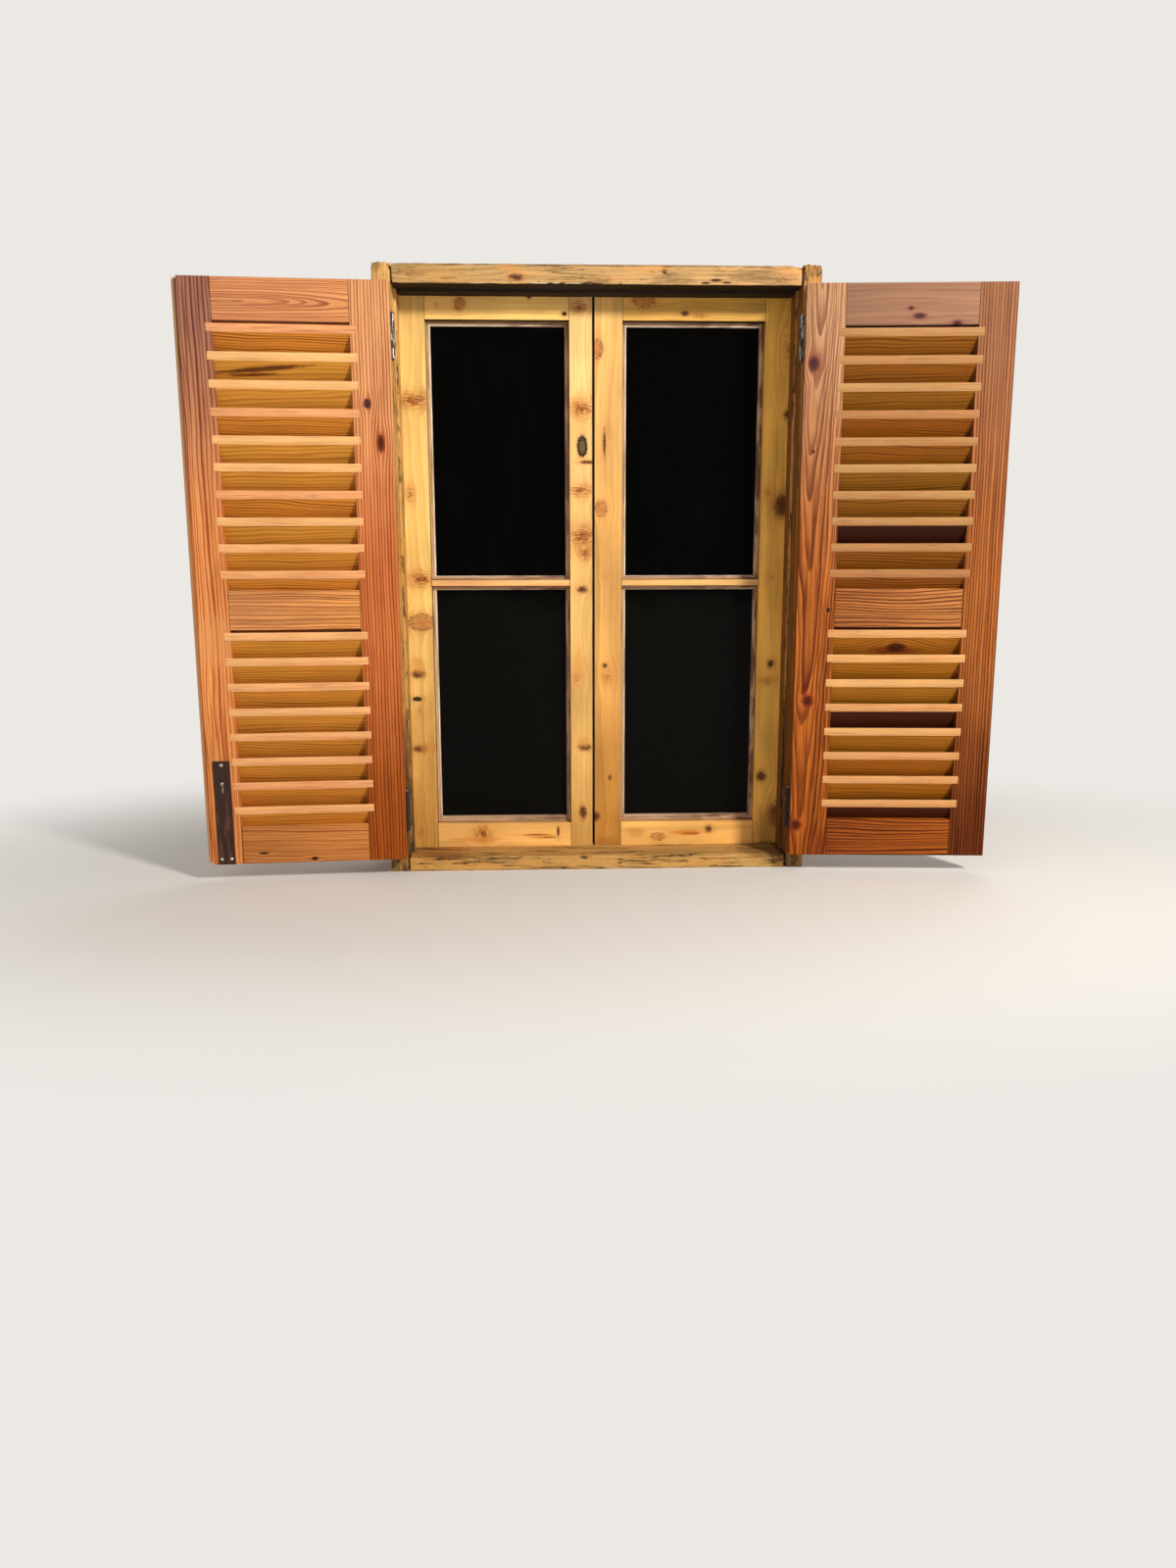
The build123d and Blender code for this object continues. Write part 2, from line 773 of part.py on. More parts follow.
def add_shutter_hinges():
    pins = []
    for name, side in (("left", -1), ("right", 1)):
        screws = []
        for level, z in zip(("upper", "lower"), shutter_hinge_heights()):
            place = Pos(shutter_axis_x, shutter_axis_y, z)
            fixed = place * mirrored(shutter_flap(0))
            fixed = fixed - shutter_hinge_screws(reveal, (1, 0, 0), z, seat_gap)
            moving = place * shutter_flap(1)
            moving = moving - shutter_hinge_screws(leaf_hinge_edge, (-1, 0, 0), z, seat_gap)
            add(name + "_" + level + "_hinge_frame_flap", on_side(fixed, side))
            add(name + "_" + level + "_hinge_leaf_flap", swung(on_side(moving, side), side))
            pins.append(on_side(place * hinge_pin(shutter_hinge_height, shutter_pin_radius), side))
            screws += [swung(on_side(screw, side), side)
                       for screw in shutter_hinge_screws(leaf_hinge_edge, (-1, 0, 0), z)]
        add(name + "_shutter_hinge_screws", group(screws))
    add("shutter_hinge_pins", group(pins))


def add_frame_hinge_screws():
    """The screws of both kinds of hinge that go into the jambs."""
    screws = []
    for z in shutter_hinge_heights():
        screws += shutter_hinge_screws(reveal, (1, 0, 0), z)
    for z in sash_hinge_heights():
        screws += sash_hinge_screws(sash_rebate_wall, (1, 0, 0), z)
    add("frame_hinge_screws", group(screws + [mirrored(screw) for screw in screws]))


def add_sash(name, side):
    gap_edge = meeting_gap_offset * -side - meeting_gap / 2
    meeting_width = left_meeting_stile_width if side < 0 else right_meeting_stile_width
    pieces = sash_pieces(sash_edge, outer_stile_width, gap_edge, meeting_width)
    cuts = []
    for z in sash_hinge_heights():
        cuts.append(flap_pocket(sash_edge, sash_edge + sash_flap_thickness,
                                back - sash_flap_width, back, z, sash_hinge_height))
        cuts += sash_hinge_screws(sash_edge, (-1, 0, 0), z, seat_gap)
    pieces["outer_stile"] = pieces["outer_stile"] - cuts
    if side > 0:
        pieces["meeting_stile"] = pieces["meeting_stile"] - [
            mirrored(screw) for screw in latch_screws(seat_gap)]
    for piece, shape in pieces.items():
        add(name + "_sash_" + piece, on_side(shape, side))


def add_sash_hinges():
    pins = []
    frame_flaps = []
    for name, side in (("left", -1), ("right", 1)):
        sash_flaps = []
        screws = []
        for z in sash_hinge_heights():
            place = Pos(sash_axis_x, sash_axis_y, z)
            fixed = place * mirrored(mirror(sash_flap(0), about=Plane.XZ))
            fixed = fixed - sash_hinge_screws(sash_rebate_wall, (1, 0, 0), z, seat_gap)
            moving = place * mirror(sash_flap(1), about=Plane.XZ)
            moving = moving - sash_hinge_screws(sash_edge, (-1, 0, 0), z, seat_gap)
            frame_flaps.append(on_side(fixed, side))
            sash_flaps.append(on_side(moving, side))
            pins.append(on_side(place * hinge_pin(sash_hinge_height, sash_pin_radius), side))
            screws += [on_side(screw, side)
                       for screw in sash_hinge_screws(sash_edge, (-1, 0, 0), z)]
        add(name + "_sash_hinge_flaps", group(sash_flaps))
        add(name + "_sash_hinge_screws", group(screws))
    add("sash_hinge_frame_flaps", group(frame_flaps))
    add("sash_hinge_pins", group(pins))


def add_latch():
    add("latch_plate", latch_plate())
    add("latch_pivot", latch_pivot())
    add("latch_lever", latch_lever())
    add("latch_screws", group(latch_screws()))


add_frame()
for leaf_name, leaf_side in (("left", -1), ("right", 1)):
    add_leaf(leaf_name, leaf_side)
    add_sash(leaf_name, leaf_side)
add_shutter_hinges()
add_frame_hinge_screws()
add_bolt()
add_sash_hinges()
add_latch()

os.makedirs("parts", exist_ok=True)
for node_name, node_shape in nodes.items():
    export_step(node_shape, "parts/" + node_name + ".step")
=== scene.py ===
"""Looks of a pair of louvred shutters on a weathered window frame with two casements.

Lengths in the materials and in the shape code are millimetres, in the model's own frame:
x to the right, y into the wall, z up. Surfaces have display colours, from 0 to 255.
A shutter's material reads every place as it is when the shutter is shut.
"""

import math

import bpy
import bmesh
from mathutils import Matrix, Vector, noise


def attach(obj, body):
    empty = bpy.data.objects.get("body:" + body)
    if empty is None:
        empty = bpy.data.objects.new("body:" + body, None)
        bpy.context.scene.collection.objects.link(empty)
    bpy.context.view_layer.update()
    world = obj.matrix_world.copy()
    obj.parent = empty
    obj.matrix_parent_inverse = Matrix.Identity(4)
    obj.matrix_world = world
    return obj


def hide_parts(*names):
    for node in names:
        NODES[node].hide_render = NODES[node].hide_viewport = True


for leftover in ("Cube", "Light", "Camera"):
    if leftover in bpy.data.objects:
        bpy.data.objects.remove(bpy.data.objects[leftover])

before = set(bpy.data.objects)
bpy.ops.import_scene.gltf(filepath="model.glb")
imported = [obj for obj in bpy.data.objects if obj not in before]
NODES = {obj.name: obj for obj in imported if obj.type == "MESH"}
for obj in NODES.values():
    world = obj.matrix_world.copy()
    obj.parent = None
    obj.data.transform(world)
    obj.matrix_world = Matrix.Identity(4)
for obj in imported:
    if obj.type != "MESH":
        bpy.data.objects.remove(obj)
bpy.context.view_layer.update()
MM = 0.001

# Frame
REVEAL, JAMB_OUTER = 395, 430
FRONT, STOP_FRONT, STOP_BACK, BACK = -65, -15, 26, 65
SILL_TOP, HEAD_BOTTOM, JAMB_TOP = 29, 1152, 1193

# Shutters: hinge axes, opening angle at rest, face that shows at rest, and the leaves' edges
AXIS_X, AXIS_Y, REST_ANGLE = 393.0, -70.0, 176.0
LEAF_FACE = -30.0
LEAF_BOTTOM, LEAF_TOP = 38.0, 1148.0
STILE_EDGE, FREE_EDGE = 317.0, 66.0

# Louvres: edges of the rails, and the slats between them
TOP_RAIL_FOOT, MID_RAIL_TOP, MID_RAIL_FOOT, BOTTOM_RAIL_TOP = 1072.0, 580.0, 504.0, 114.0
SLAT_SLOPE = math.tan(math.radians(60))
SLAT_EDGE, FIRST_SLAT_DROP = 15.0, 4.5
UPPER_LAST_GAP, LOWER_LAST_GAP = 22.5, 26.0
UPPER_TOP = TOP_RAIL_FOOT - FIRST_SLAT_DROP
LOWER_TOP = MID_RAIL_FOOT - FIRST_SLAT_DROP
UPPER_PITCH = (UPPER_TOP - SLAT_EDGE - MID_RAIL_TOP - UPPER_LAST_GAP) / 9
LOWER_PITCH = (LOWER_TOP - SLAT_EDGE - BOTTOM_RAIL_TOP - LOWER_LAST_GAP) / 7

# Casements: heights and sides of the whole sash and of its lights, and the glazing bar
SASH_BOTTOM, SASH_TOP = 22.0, 1157.0
LEFT_PANE, RIGHT_PANE = (-340.5, -53.5), (52.5, 340.5)
LIGHT_BOTTOM, LIGHT_TOP = 79.0, 1104.0
BAR_CENTRE, BAR_HALF_FACE = 589.0, 6.25


# Writing materials and meshes


def linear(rgb):
    """Scene-linear colour of a display colour."""
    def one(c):
        c /= 255
        return c / 12.92 if c <= 0.04045 else ((c + 0.055) / 1.055) ** 2.4
    return tuple(one(c) for c in rgb) + (1.0,)


class Net:
    """Short way to write a material: each call adds a node and returns its output."""

    def __init__(self, name, library=bpy.data.materials):
        self.owner = library.new(name)
        self.owner.use_nodes = True
        self.tree = self.owner.node_tree
        self.tree.nodes.clear()

    def node(self, kind, **settings):
        made = self.tree.nodes.new(kind)
        for key, value in settings.items():
            setattr(made, key, value)
        return made

    def put(self, socket, value):
        if isinstance(value, bpy.types.NodeSocket):
            self.tree.links.new(value, socket)
        else:
            socket.default_value = value

    def math(self, operation, *values, clamp=False):
        made = self.node("ShaderNodeMath", operation=operation, use_clamp=clamp)
        for socket, value in zip(made.inputs, values):
            self.put(socket, value)
        return made.outputs[0]

    def plus(self, a, b):
        return self.math("ADD", a, b)

    def minus(self, a, b):
        return self.math("SUBTRACT", a, b)

    def over(self, a, b):
        return self.math("DIVIDE", a, b)

    def times(self, *values):
        """The product of all the values."""
        product = values[0]
        for value in values[1:]:
            product = self.math("MULTIPLY", product, value)
        return product

    def apart(self, a, b):
        return self.math("ABSOLUTE", self.minus(a, b))

    def to_nearer(self, value, places):
        """How far the value is from the nearer of two places."""
        return self.math("MINIMUM", *(self.apart(value, place) for place in places))

    def equals(self, number, whole):
        return self.math("COMPARE", number, float(whole), 0.3)

    def bell(self, far, sharpness):
        """1 where far is 0, and softly down to 0 on both sides."""
        return self.math("EXPONENT", self.times(far, far, -sharpness))

    def roughened(self, value, grain, amount):
        """The value, moved up and down by the grain, which runs from 0 to 1."""
        return self.plus(value, self.times(self.minus(grain, 0.5), amount))

    def vector(self, operation, *values):
        made = self.node("ShaderNodeVectorMath", operation=operation)
        for socket, value in zip(made.inputs, values):
            self.put(socket, value)
        return made.outputs["Value" if operation in ("LENGTH", "DOT_PRODUCT") else "Vector"]

    def scale(self, vector, factor):
        made = self.node("ShaderNodeVectorMath", operation="SCALE")
        self.put(made.inputs[0], vector)
        self.put(made.inputs["Scale"], factor)
        return made.outputs[0]

    def combine(self, x, y, z):
        made = self.node("ShaderNodeCombineXYZ")
        for socket, value in zip(made.inputs, (x, y, z)):
            self.put(socket, value)
        return made.outputs[0]

    def separate(self, vector):
        made = self.node("ShaderNodeSeparateXYZ")
        self.put(made.inputs[0], vector)
        return made.outputs[0], made.outputs[1], made.outputs[2]

    def noise(self, vector, stretch=(1, 1, 1), detail=2.0, roughness=0.5, output="Fac"):
        """Noise whose features measure about stretch, in the vector's units."""
        made = self.node("ShaderNodeTexNoise")
        self.put(made.inputs["Vector"], self.vector("DIVIDE", vector, stretch))
        made.inputs["Scale"].default_value = 1.0
        made.inputs["Detail"].default_value = detail
        made.inputs["Roughness"].default_value = roughness
        return made.outputs[output]

    def strayed(self, place, source, stretch, amount):
        """The place, moved sideways by waves that measure about stretch."""
        wave = self.noise(source, stretch, 1.0, output="Color")
        wave = self.vector("SUBTRACT", wave, (0.5, 0.5, 0.5))
        return self.vector("ADD", place, self.vector("MULTIPLY", wave, (amount, amount, 0)))

    def random(self, value):
        made = self.node("ShaderNodeTexWhiteNoise", noise_dimensions="1D")
        self.put(made.inputs["W"], value)
        return made.outputs["Value"]

    def smooth(self, value, low, high):
        """0 at low and 1 at high, with a soft step between."""
        made = self.node("ShaderNodeMapRange", interpolation_type="SMOOTHSTEP")
        self.put(made.inputs["Value"], value)
        made.inputs["From Min"].default_value = low
        made.inputs["From Max"].default_value = high
        return made.outputs["Result"]

    def lerp(self, value, low, high, to_low, to_high):
        made = self.node("ShaderNodeMapRange")
        self.put(made.inputs["Value"], value)
        ends = (("From Min", low), ("From Max", high), ("To Min", to_low), ("To Max", to_high))
        for key, number in ends:
            made.inputs[key].default_value = number
        return made.outputs["Result"]

    def mix(self, factor, a, b):
        """Colour a, or b where factor is 1. A tuple is a display colour."""
        made = self.node("ShaderNodeMix", data_type="RGBA")
        self.put(made.inputs[0], factor)
        for socket, value in ((made.inputs[6], a), (made.inputs[7], b)):
            self.put(socket, linear(value) if isinstance(value, tuple) else value)
        return made.outputs[2]

    def blend(self, factor, colors):
        """One of two or three colours, spread evenly over factor 0 to 1."""
        if len(colors) == 2:
            return self.mix(factor, *colors)
        first = self.mix(self.smooth(factor, 0.0, 0.5), colors[0], colors[1])
        return self.mix(self.smooth(factor, 0.5, 1.0), first, colors[2])

    def lay(self, color, tint, *where):
        """The colour with tint laid over it, as strongly as the product of where says."""
        return self.mix(self.times(*where), color, tint)

    def point(self, swing=None):
        """The place in millimetres, with a shutter's turned back to where it is shut."""
        place = self.node("ShaderNodeTexCoord").outputs["Object"]
        if swing:
            turn = self.node("ShaderNodeVectorRotate", rotation_type="Z_AXIS")
            self.put(turn.inputs["Vector"], place)
            turn.inputs["Center"].default_value = (swing * AXIS_X * MM, AXIS_Y * MM, 0)
            turn.inputs["Angle"].default_value = -swing * math.radians(REST_ANGLE)
            place = turn.outputs[0]
        return self.scale(place, 1 / MM)

    def surface(self, color, roughness, height, **fixed):
        """Closes the material. Height is in millimetres."""
        shader = self.node("ShaderNodeBsdfPrincipled")
        self.put(shader.inputs["Base Color"], color)
        self.put(shader.inputs["Roughness"], roughness)
        for key, value in fixed.items():
            shader.inputs[key.replace("_", " ")].default_value = value
        bump = self.node("ShaderNodeBump")
        bump.inputs["Strength"].default_value = 1.0
        bump.inputs["Distance"].default_value = MM
        self.put(bump.inputs["Height"], height)
        self.put(shader.inputs["Normal"], bump.outputs[0])
        return self.close("ShaderNodeOutputMaterial", shader.outputs[0])

    def shader(self, kind, **values):
        """A simple shader with these values on its sockets."""
        made = self.node(kind)
        for key, value in values.items():
            made.inputs[key].default_value = value
        return made.outputs[0]

    def choose(self, factor, a, b):
        """Shader a, or b where factor is 1."""
        made = self.node("ShaderNodeMixShader")
        for socket, value in zip(made.inputs, (factor, a, b)):
            self.put(socket, value)
        return made.outputs[0]

    def close(self, kind, shader):
        self.put(self.node(kind).inputs["Surface"], shader)
        return self.owner


def add(name, data):
    """Puts an object with this data into the scene."""
    made = bpy.data.objects.new(name, data)
    bpy.context.scene.collection.objects.link(made)
    return made


def mesh_of(name, shape):
    mesh = bpy.data.meshes.new(name)
    shape.to_mesh(mesh)
    shape.free()
    return mesh


def paint(names, made):
    for name in names:
        for slot in NODES[name].material_slots:
            slot.material = made


# Wood


def knotted(net, place, bent, knots):
    """Leads the grain round each knot. Returns it, the knots' distances and their nearness."""
    fields = []
    nearness = 0.0
    for across, along, wide, tall, kind in knots:
        offset = net.vector("SUBTRACT", place, (across, 0, along))
        unit = net.vector("MULTIPLY", offset, (0.8 / wide, 0, 0.8 / tall))
        far = net.vector("LENGTH", unit)
        fields.append((far, kind))
        near = net.bell(far, 0.33)
        pull = net.scale(net.vector("MULTIPLY", offset, (0.9, 0, 0)), near)
        bent = net.vector("SUBTRACT", bent, pull)
        nearness = net.plus(nearness, near)
    return bent, fields, nearness


KNOTS = {
    # kind: colours of the centre, the rim and the halo, then their strengths,
    # how ragged the outline is, and where the core begins to fade
    "dark": ((60, 28, 14), (116, 62, 28), (200, 128, 62), 0.92, 0.6, 0.45, 2.1, 0.55),
    "hole": ((104, 88, 54), (16, 12, 8), (196, 156, 84), 0.95, 1.0, 0.35, 0.45, 0.9),
    "red": ((208, 128, 66), (138, 68, 34), (226, 152, 86), 0.5, 1.0, 0.5, 1.9, 0.35),
    "soft": ((186, 112, 48), (160, 84, 32), (222, 158, 82), 0.8, 0.4, 0.4, 0.9, 0.4),
    "feather": ((150, 72, 24), (110, 48, 16), (216, 144, 68), 1.0, 0.85, 0.5, 1.6, 0.4),
    "spot": ((44, 22, 14), (40, 18, 12), (190, 118, 60), 0.95, 0.6, 0.35, 0.7, 0.75),
    "violet": ((50, 26, 26), (88, 46, 40), (172, 96, 66), 0.96, 0.5, 0.5, 0.8, 0.75),
    "ember": ((44, 14, 5), (112, 42, 14), (190, 94, 40), 0.95, 0.7, 0.5, 0.9, 0.7),
    "plum": ((52, 16, 18), (90, 40, 36), (160, 96, 76), 0.95, 0.5, 0.4, 1.0, 0.55),
}
STROKED = ("feather", "soft")


def paint_knots(net, seeded, color, fields):
    """Colours each knot: a glow and a fan of short strokes across the grain.

    All but the stroked kinds also have a ringed core with a broken rim.
    """
    height = 0.0
    if not fields:
        return color, height
    broken = net.smooth(net.noise(seeded, (3, 3, 3), 2.0, 0.6), 0.36, 0.6)
    frayed = net.noise(seeded, (4.5, 4.5, 3.0), 5.0, 0.75)
    stroke = net.smooth(net.noise(seeded, (14, 14, 2.2), 4.0, 0.66), 0.44, 0.54)
    for far, kind in fields:
        centre, rim, halo, depth, rim_strength, halo_strength, ragged, core = KNOTS[kind]
        torn = net.roughened(far, frayed, ragged)
        color = net.lay(color, halo, net.bell(torn, 0.55), halo_strength)
        fan = net.times(net.bell(far, 0.9), stroke)
        if kind in STROKED:
            color = net.lay(color, centre, fan, depth)
            edge = net.times(net.smooth(torn, 0.5, 0.2), 0.7)
        else:
            color = net.lay(color, rim, fan, 0.6 * rim_strength)
            rings = net.lerp(net.math("SINE", net.times(torn, 14.0)), -1, 1, 0.0, 0.35)
            outward = net.smooth(torn, 0.3, 1.0)
            tone = net.mix(net.math("ADD", rings, outward, clamp=True), centre, rim)
            color = net.lay(color, tone, net.smooth(torn, 1.05, core), depth)
            edge = net.times(net.smooth(torn, 0.66, 0.9), net.smooth(torn, 1.2, 0.98), broken)
        color = net.lay(color, rim, edge, rim_strength)
        height = net.plus(height, net.times(edge, -0.12))
    return color, height


def stained(net, seeded, place, color, stain):
    """A blot at (across, along) of the given half sizes, colour and strength, with a torn edge."""
    across, along, wide, tall, tint, strength = stain
    offset = net.vector("SUBTRACT", place, (across, 0, along))
    offset = net.vector("MULTIPLY", offset, (1 / wide, 0, 1 / tall))
    torn = net.noise(seeded, (7, 7, 24), 4.0, 0.65)
    far = net.roughened(net.vector("LENGTH", offset), torn, 1.5)
    return net.lay(color, tint, net.smooth(far, 1.15, 0.45), strength)


def weathered(net, seeded, color, height, amount):
    """Grey drying, dark cracks along the grain and short dark dashes."""
    grey = net.smooth(net.noise(seeded, (18, 18, 150), 4.0, 0.7), 0.5, 0.72)
    color = net.lay(color, (158, 132, 92), grey, 0.4 * amount)
    warm = net.smooth(net.noise(seeded, (26, 26, 90), 3.0, 0.6), 0.5, 0.66)
    color = net.lay(color, (222, 152, 78), warm, 0.4)
    split = net.apart(net.noise(seeded, (6, 6, 150), 3.0, 0.6), 0.5)
    where = net.smooth(net.noise(seeded, (30, 30, 120), 2.0), 0.48, 0.56)
    crack = net.times(net.smooth(split, 0.05, 0.012), where)
    color = net.lay(color, (48, 28, 14), crack, 0.9 * amount)
    dash = net.smooth(net.noise(seeded, (3.2, 3.2, 13), 2.0, 0.6), 0.61, 0.66)
    many = net.smooth(net.noise(seeded, (22, 22, 110), 2.0, 0.6), 0.42, 0.56)
    dash = net.times(dash, many)
    color = net.lay(color, (62, 38, 18), dash, 0.85 * amount)
    height = net.plus(height, net.times(crack, -0.8 * amount))
    return color, net.plus(height, net.times(dash, -0.5 * amount))


def paint_shade(net, y, color, painted_shades):
    """Paints shade on the faces that look a given way, from a given depth inward."""
    if painted_shades:
        facing = net.node("ShaderNodeTexCoord").outputs["Normal"]
    for way, nearest, tint, strength in painted_shades:
        turned = net.smooth(net.vector("DOT_PRODUCT", facing, way), 0.5, 0.8)
        color = net.lay(color, tint, turned, net.smooth(y, nearest, nearest + 4), strength)
    return color


def log_rings(net, board, bent):
    """The late wood's strength, each ring's random number, and the place along the board."""
    across, through, along = net.separate(bent)
    seed = board["seed"]
    lean = net.times(net.minus(along, sum(board["span"]) / 2), board["lean"])
    section = net.combine(across, net.plus(through, lean), 0)
    from_pith = net.vector("SUBTRACT", section, (*board["pith"], 0))
    rings = net.over(net.vector("LENGTH", from_pith), board["ring"])
    crowd = net.noise(net.combine(rings, seed, 0), (2.6, 1, 1), 1.0)
    rings = net.plus(rings, net.times(crowd, board["crowd"]))
    number = net.math("FLOOR", rings)
    part = net.math("FRACT", rings)
    own = net.random(net.plus(number, seed * 7.0))
    other = net.random(net.plus(number, seed * 7.0 + 0.5))
    late = net.times(net.smooth(part, board["thin"], 0.86), net.smooth(part, 1.0, 0.95),
                     net.lerp(own, 0, 1, 0.55, 1.0))
    return late, other, along


def wood(name, board):
    """The material of one board, whose looks are a dict like PLAIN."""
    net = Net(name)
    point = net.point(board["swing"])
    x, y, z = net.separate(point)
    place = point if board["lie"] == "up" else net.combine(z, y, x)
    seed, wander = board["seed"], board["wander"]
    seeded = net.vector("ADD", place, (seed * 131.7, seed * 57.3, seed * 913.1))
    bent = net.strayed(place, seeded, (70, 70, 330), 26 * wander)
    bent = net.strayed(bent, seeded, (16, 16, 90), 3.2 * wander)
    bent, fields, nearness = knotted(net, place, bent, board["knots"])
    late, other, along = log_rings(net, board, bent)
    fibre = net.noise(seeded, (1.3, 1.3, 80), 3.0, 0.7)
    streak = net.noise(seeded, (4, 4, 260), 3.0, 0.65)
    cloud = net.noise(seeded, (60, 60, 160), 2.0, 0.5)

    up = net.lerp(net.roughened(along, cloud, 240), *board["span"], 0.0, 1.0)
    dark = net.blend(up, board["late"])
    contrast = net.plus(board["contrast"], net.times(nearness, 0.5))
    strength = net.math("MULTIPLY", late, contrast, clamp=True)
    color = net.mix(strength, net.blend(up, board["early"]), dark)
    color = net.lay(color, dark, net.smooth(streak, 0.5, 0.66), board["broad"])
    color = net.lay(color, dark, net.smooth(fibre, 0.5, 0.72), board["hair"])
    drift = net.lerp(cloud, 0.25, 0.75, 1 - board["cloud"], 1 + board["cloud"])
    shade = net.plus(drift, net.lerp(other, 0, 1, -0.08, 0.08))
    color = net.scale(color, net.plus(shade, net.lerp(fibre, 0.3, 0.7, -0.05, 0.05)))
    color, dents = paint_knots(net, seeded, color, fields)
    for stain in board["stains"]:
        color = stained(net, seeded, place, color, stain)
    height = net.plus(net.times(strength, board["ridge"]), net.times(fibre, board["fuzz"]))
    height = net.plus(height, dents)

    if board["lie"] == "flat" and not board["old"]:
        joint = net.smooth(net.to_nearer(x, board["span"]), 1.9, 0.7)
        color = net.lay(color, (58, 28, 14), joint, 0.7)
    # Painted highlight: a lighter colour laid on between two places across x
    if board["painted_highlight"]:
        low, high, tint, strength = board["painted_highlight"]
        color = net.lay(color, tint, net.smooth(x, low, high), strength)
    if board["old"]:
        color, height = weathered(net, seeded, color, height, board["old"])
    # Painted shade on the faces listed for this board
    color = paint_shade(net, y, color, board["painted_shade"])
    roughness = net.lerp(net.plus(fibre, net.times(late, -0.3)), 0, 1, *board["rough"])
    return net.surface(color, roughness, height, Specular_IOR_Level=board["gloss"])


# What a board is described by, apart from seed, lie ("up" or "flat"), span (its lowest and
# highest place along the grain), pith (where the log's centre is, across and through the board),
# ring (the rings' width), and early and late (two or three colours from the span's low end up).
# These are the usual values. Knots and stains lie at a place across and along the grain.
PLAIN = dict(
    swing=None,  # the side of the shutter, -1 or 1
    wander=1.0,  # how far the grain strays
    lean=0.0,  # how fast the log's centre comes nearer along the board
    crowd=2.4,  # how unevenly the rings are spaced
    thin=0.42,  # where in a ring the late wood begins
    contrast=1.0,  # strength of the late wood
    broad=0.35,  # strength of the broad dark streaks
    hair=0.55,  # strength of the dark fibres
    cloud=0.1,  # how much the tone drifts
    ridge=0.10,  # height of the late wood
    fuzz=0.16,  # height of the fibres
    rough=(0.42, 0.62),
    gloss=0.1,
    knots=(),  # place, half sizes and kind
    stains=(),  # place, half sizes, colour and strength
    painted_highlight=None,  # painted highlight: low and high x between which a lighter colour comes in, the colour and its strength
    old=0.0,  # how weathered the board is
    painted_shade=(),  # faces with painted shade
)
HONEY, AMBER = (250, 212, 128), (228, 168, 88)
# Shaded copies of the honey and amber: painted shade, for the right casement's outer stile
HONEY_IN_PAINTED_SHADE, AMBER_IN_PAINTED_SHADE = (248, 190, 88), (216, 148, 58)
BLACK, MOSS = (34, 24, 16), (84, 74, 40)
SASH = dict(
    PLAIN, early=(HONEY, HONEY), late=(AMBER, AMBER), ring=11.0, contrast=0.4, broad=0.4,
    wander=1.8, cloud=0.2, thin=0.1, ridge=0.04, fuzz=0.08, rough=(0.34, 0.52), gloss=0.2)
OLD = dict(
    PLAIN, early=((200, 152, 86), (212, 170, 108)), late=((156, 106, 52), (170, 122, 72)),
    ring=5.5, contrast=0.5, broad=0.4, old=1.0, ridge=0.2, fuzz=0.35, rough=(0.6, 0.85),
    gloss=0.25)

LEFT_STILE = dict(PLAIN, swing=-1, lie="up", span=(LEAF_BOTTOM, LEAF_TOP))
LEFT_RAIL = dict(PLAIN, swing=-1, lie="flat", span=(-STILE_EDGE, -FREE_EDGE))
RIGHT_STILE = dict(LEFT_STILE, swing=1)
RIGHT_RAIL = dict(LEFT_RAIL, swing=1, span=(FREE_EDGE, STILE_EDGE))
SASH_STILE = dict(SASH, lie="up", span=(SASH_BOTTOM, SASH_TOP))
LEFT_SASH_RAIL = dict(SASH, lie="flat", span=LEFT_PANE)
RIGHT_SASH_RAIL = dict(SASH, lie="flat", span=RIGHT_PANE)
JAMB = dict(OLD, lie="up", span=(0, JAMB_TOP))
OLD_RAIL = dict(OLD, lie="flat", span=(-REVEAL, REVEAL))

# Painted shade on faces: the way that they look, the depth from which the painted shade begins, its
# colour and its strength. AHEAD is in front of every face.
DOWN, OUTWARD, LEFTWARD, RIGHTWARD = (0, 0, -1), (0, -1, 0), (-1, 0, 0), (1, 0, 0)
AHEAD = FRONT - 25
# Painted shade on the down-facing faces of the casements' top rails
SHADE_UNDER_HEAD = (DOWN, AHEAD, (40, 20, 9), 0.9)

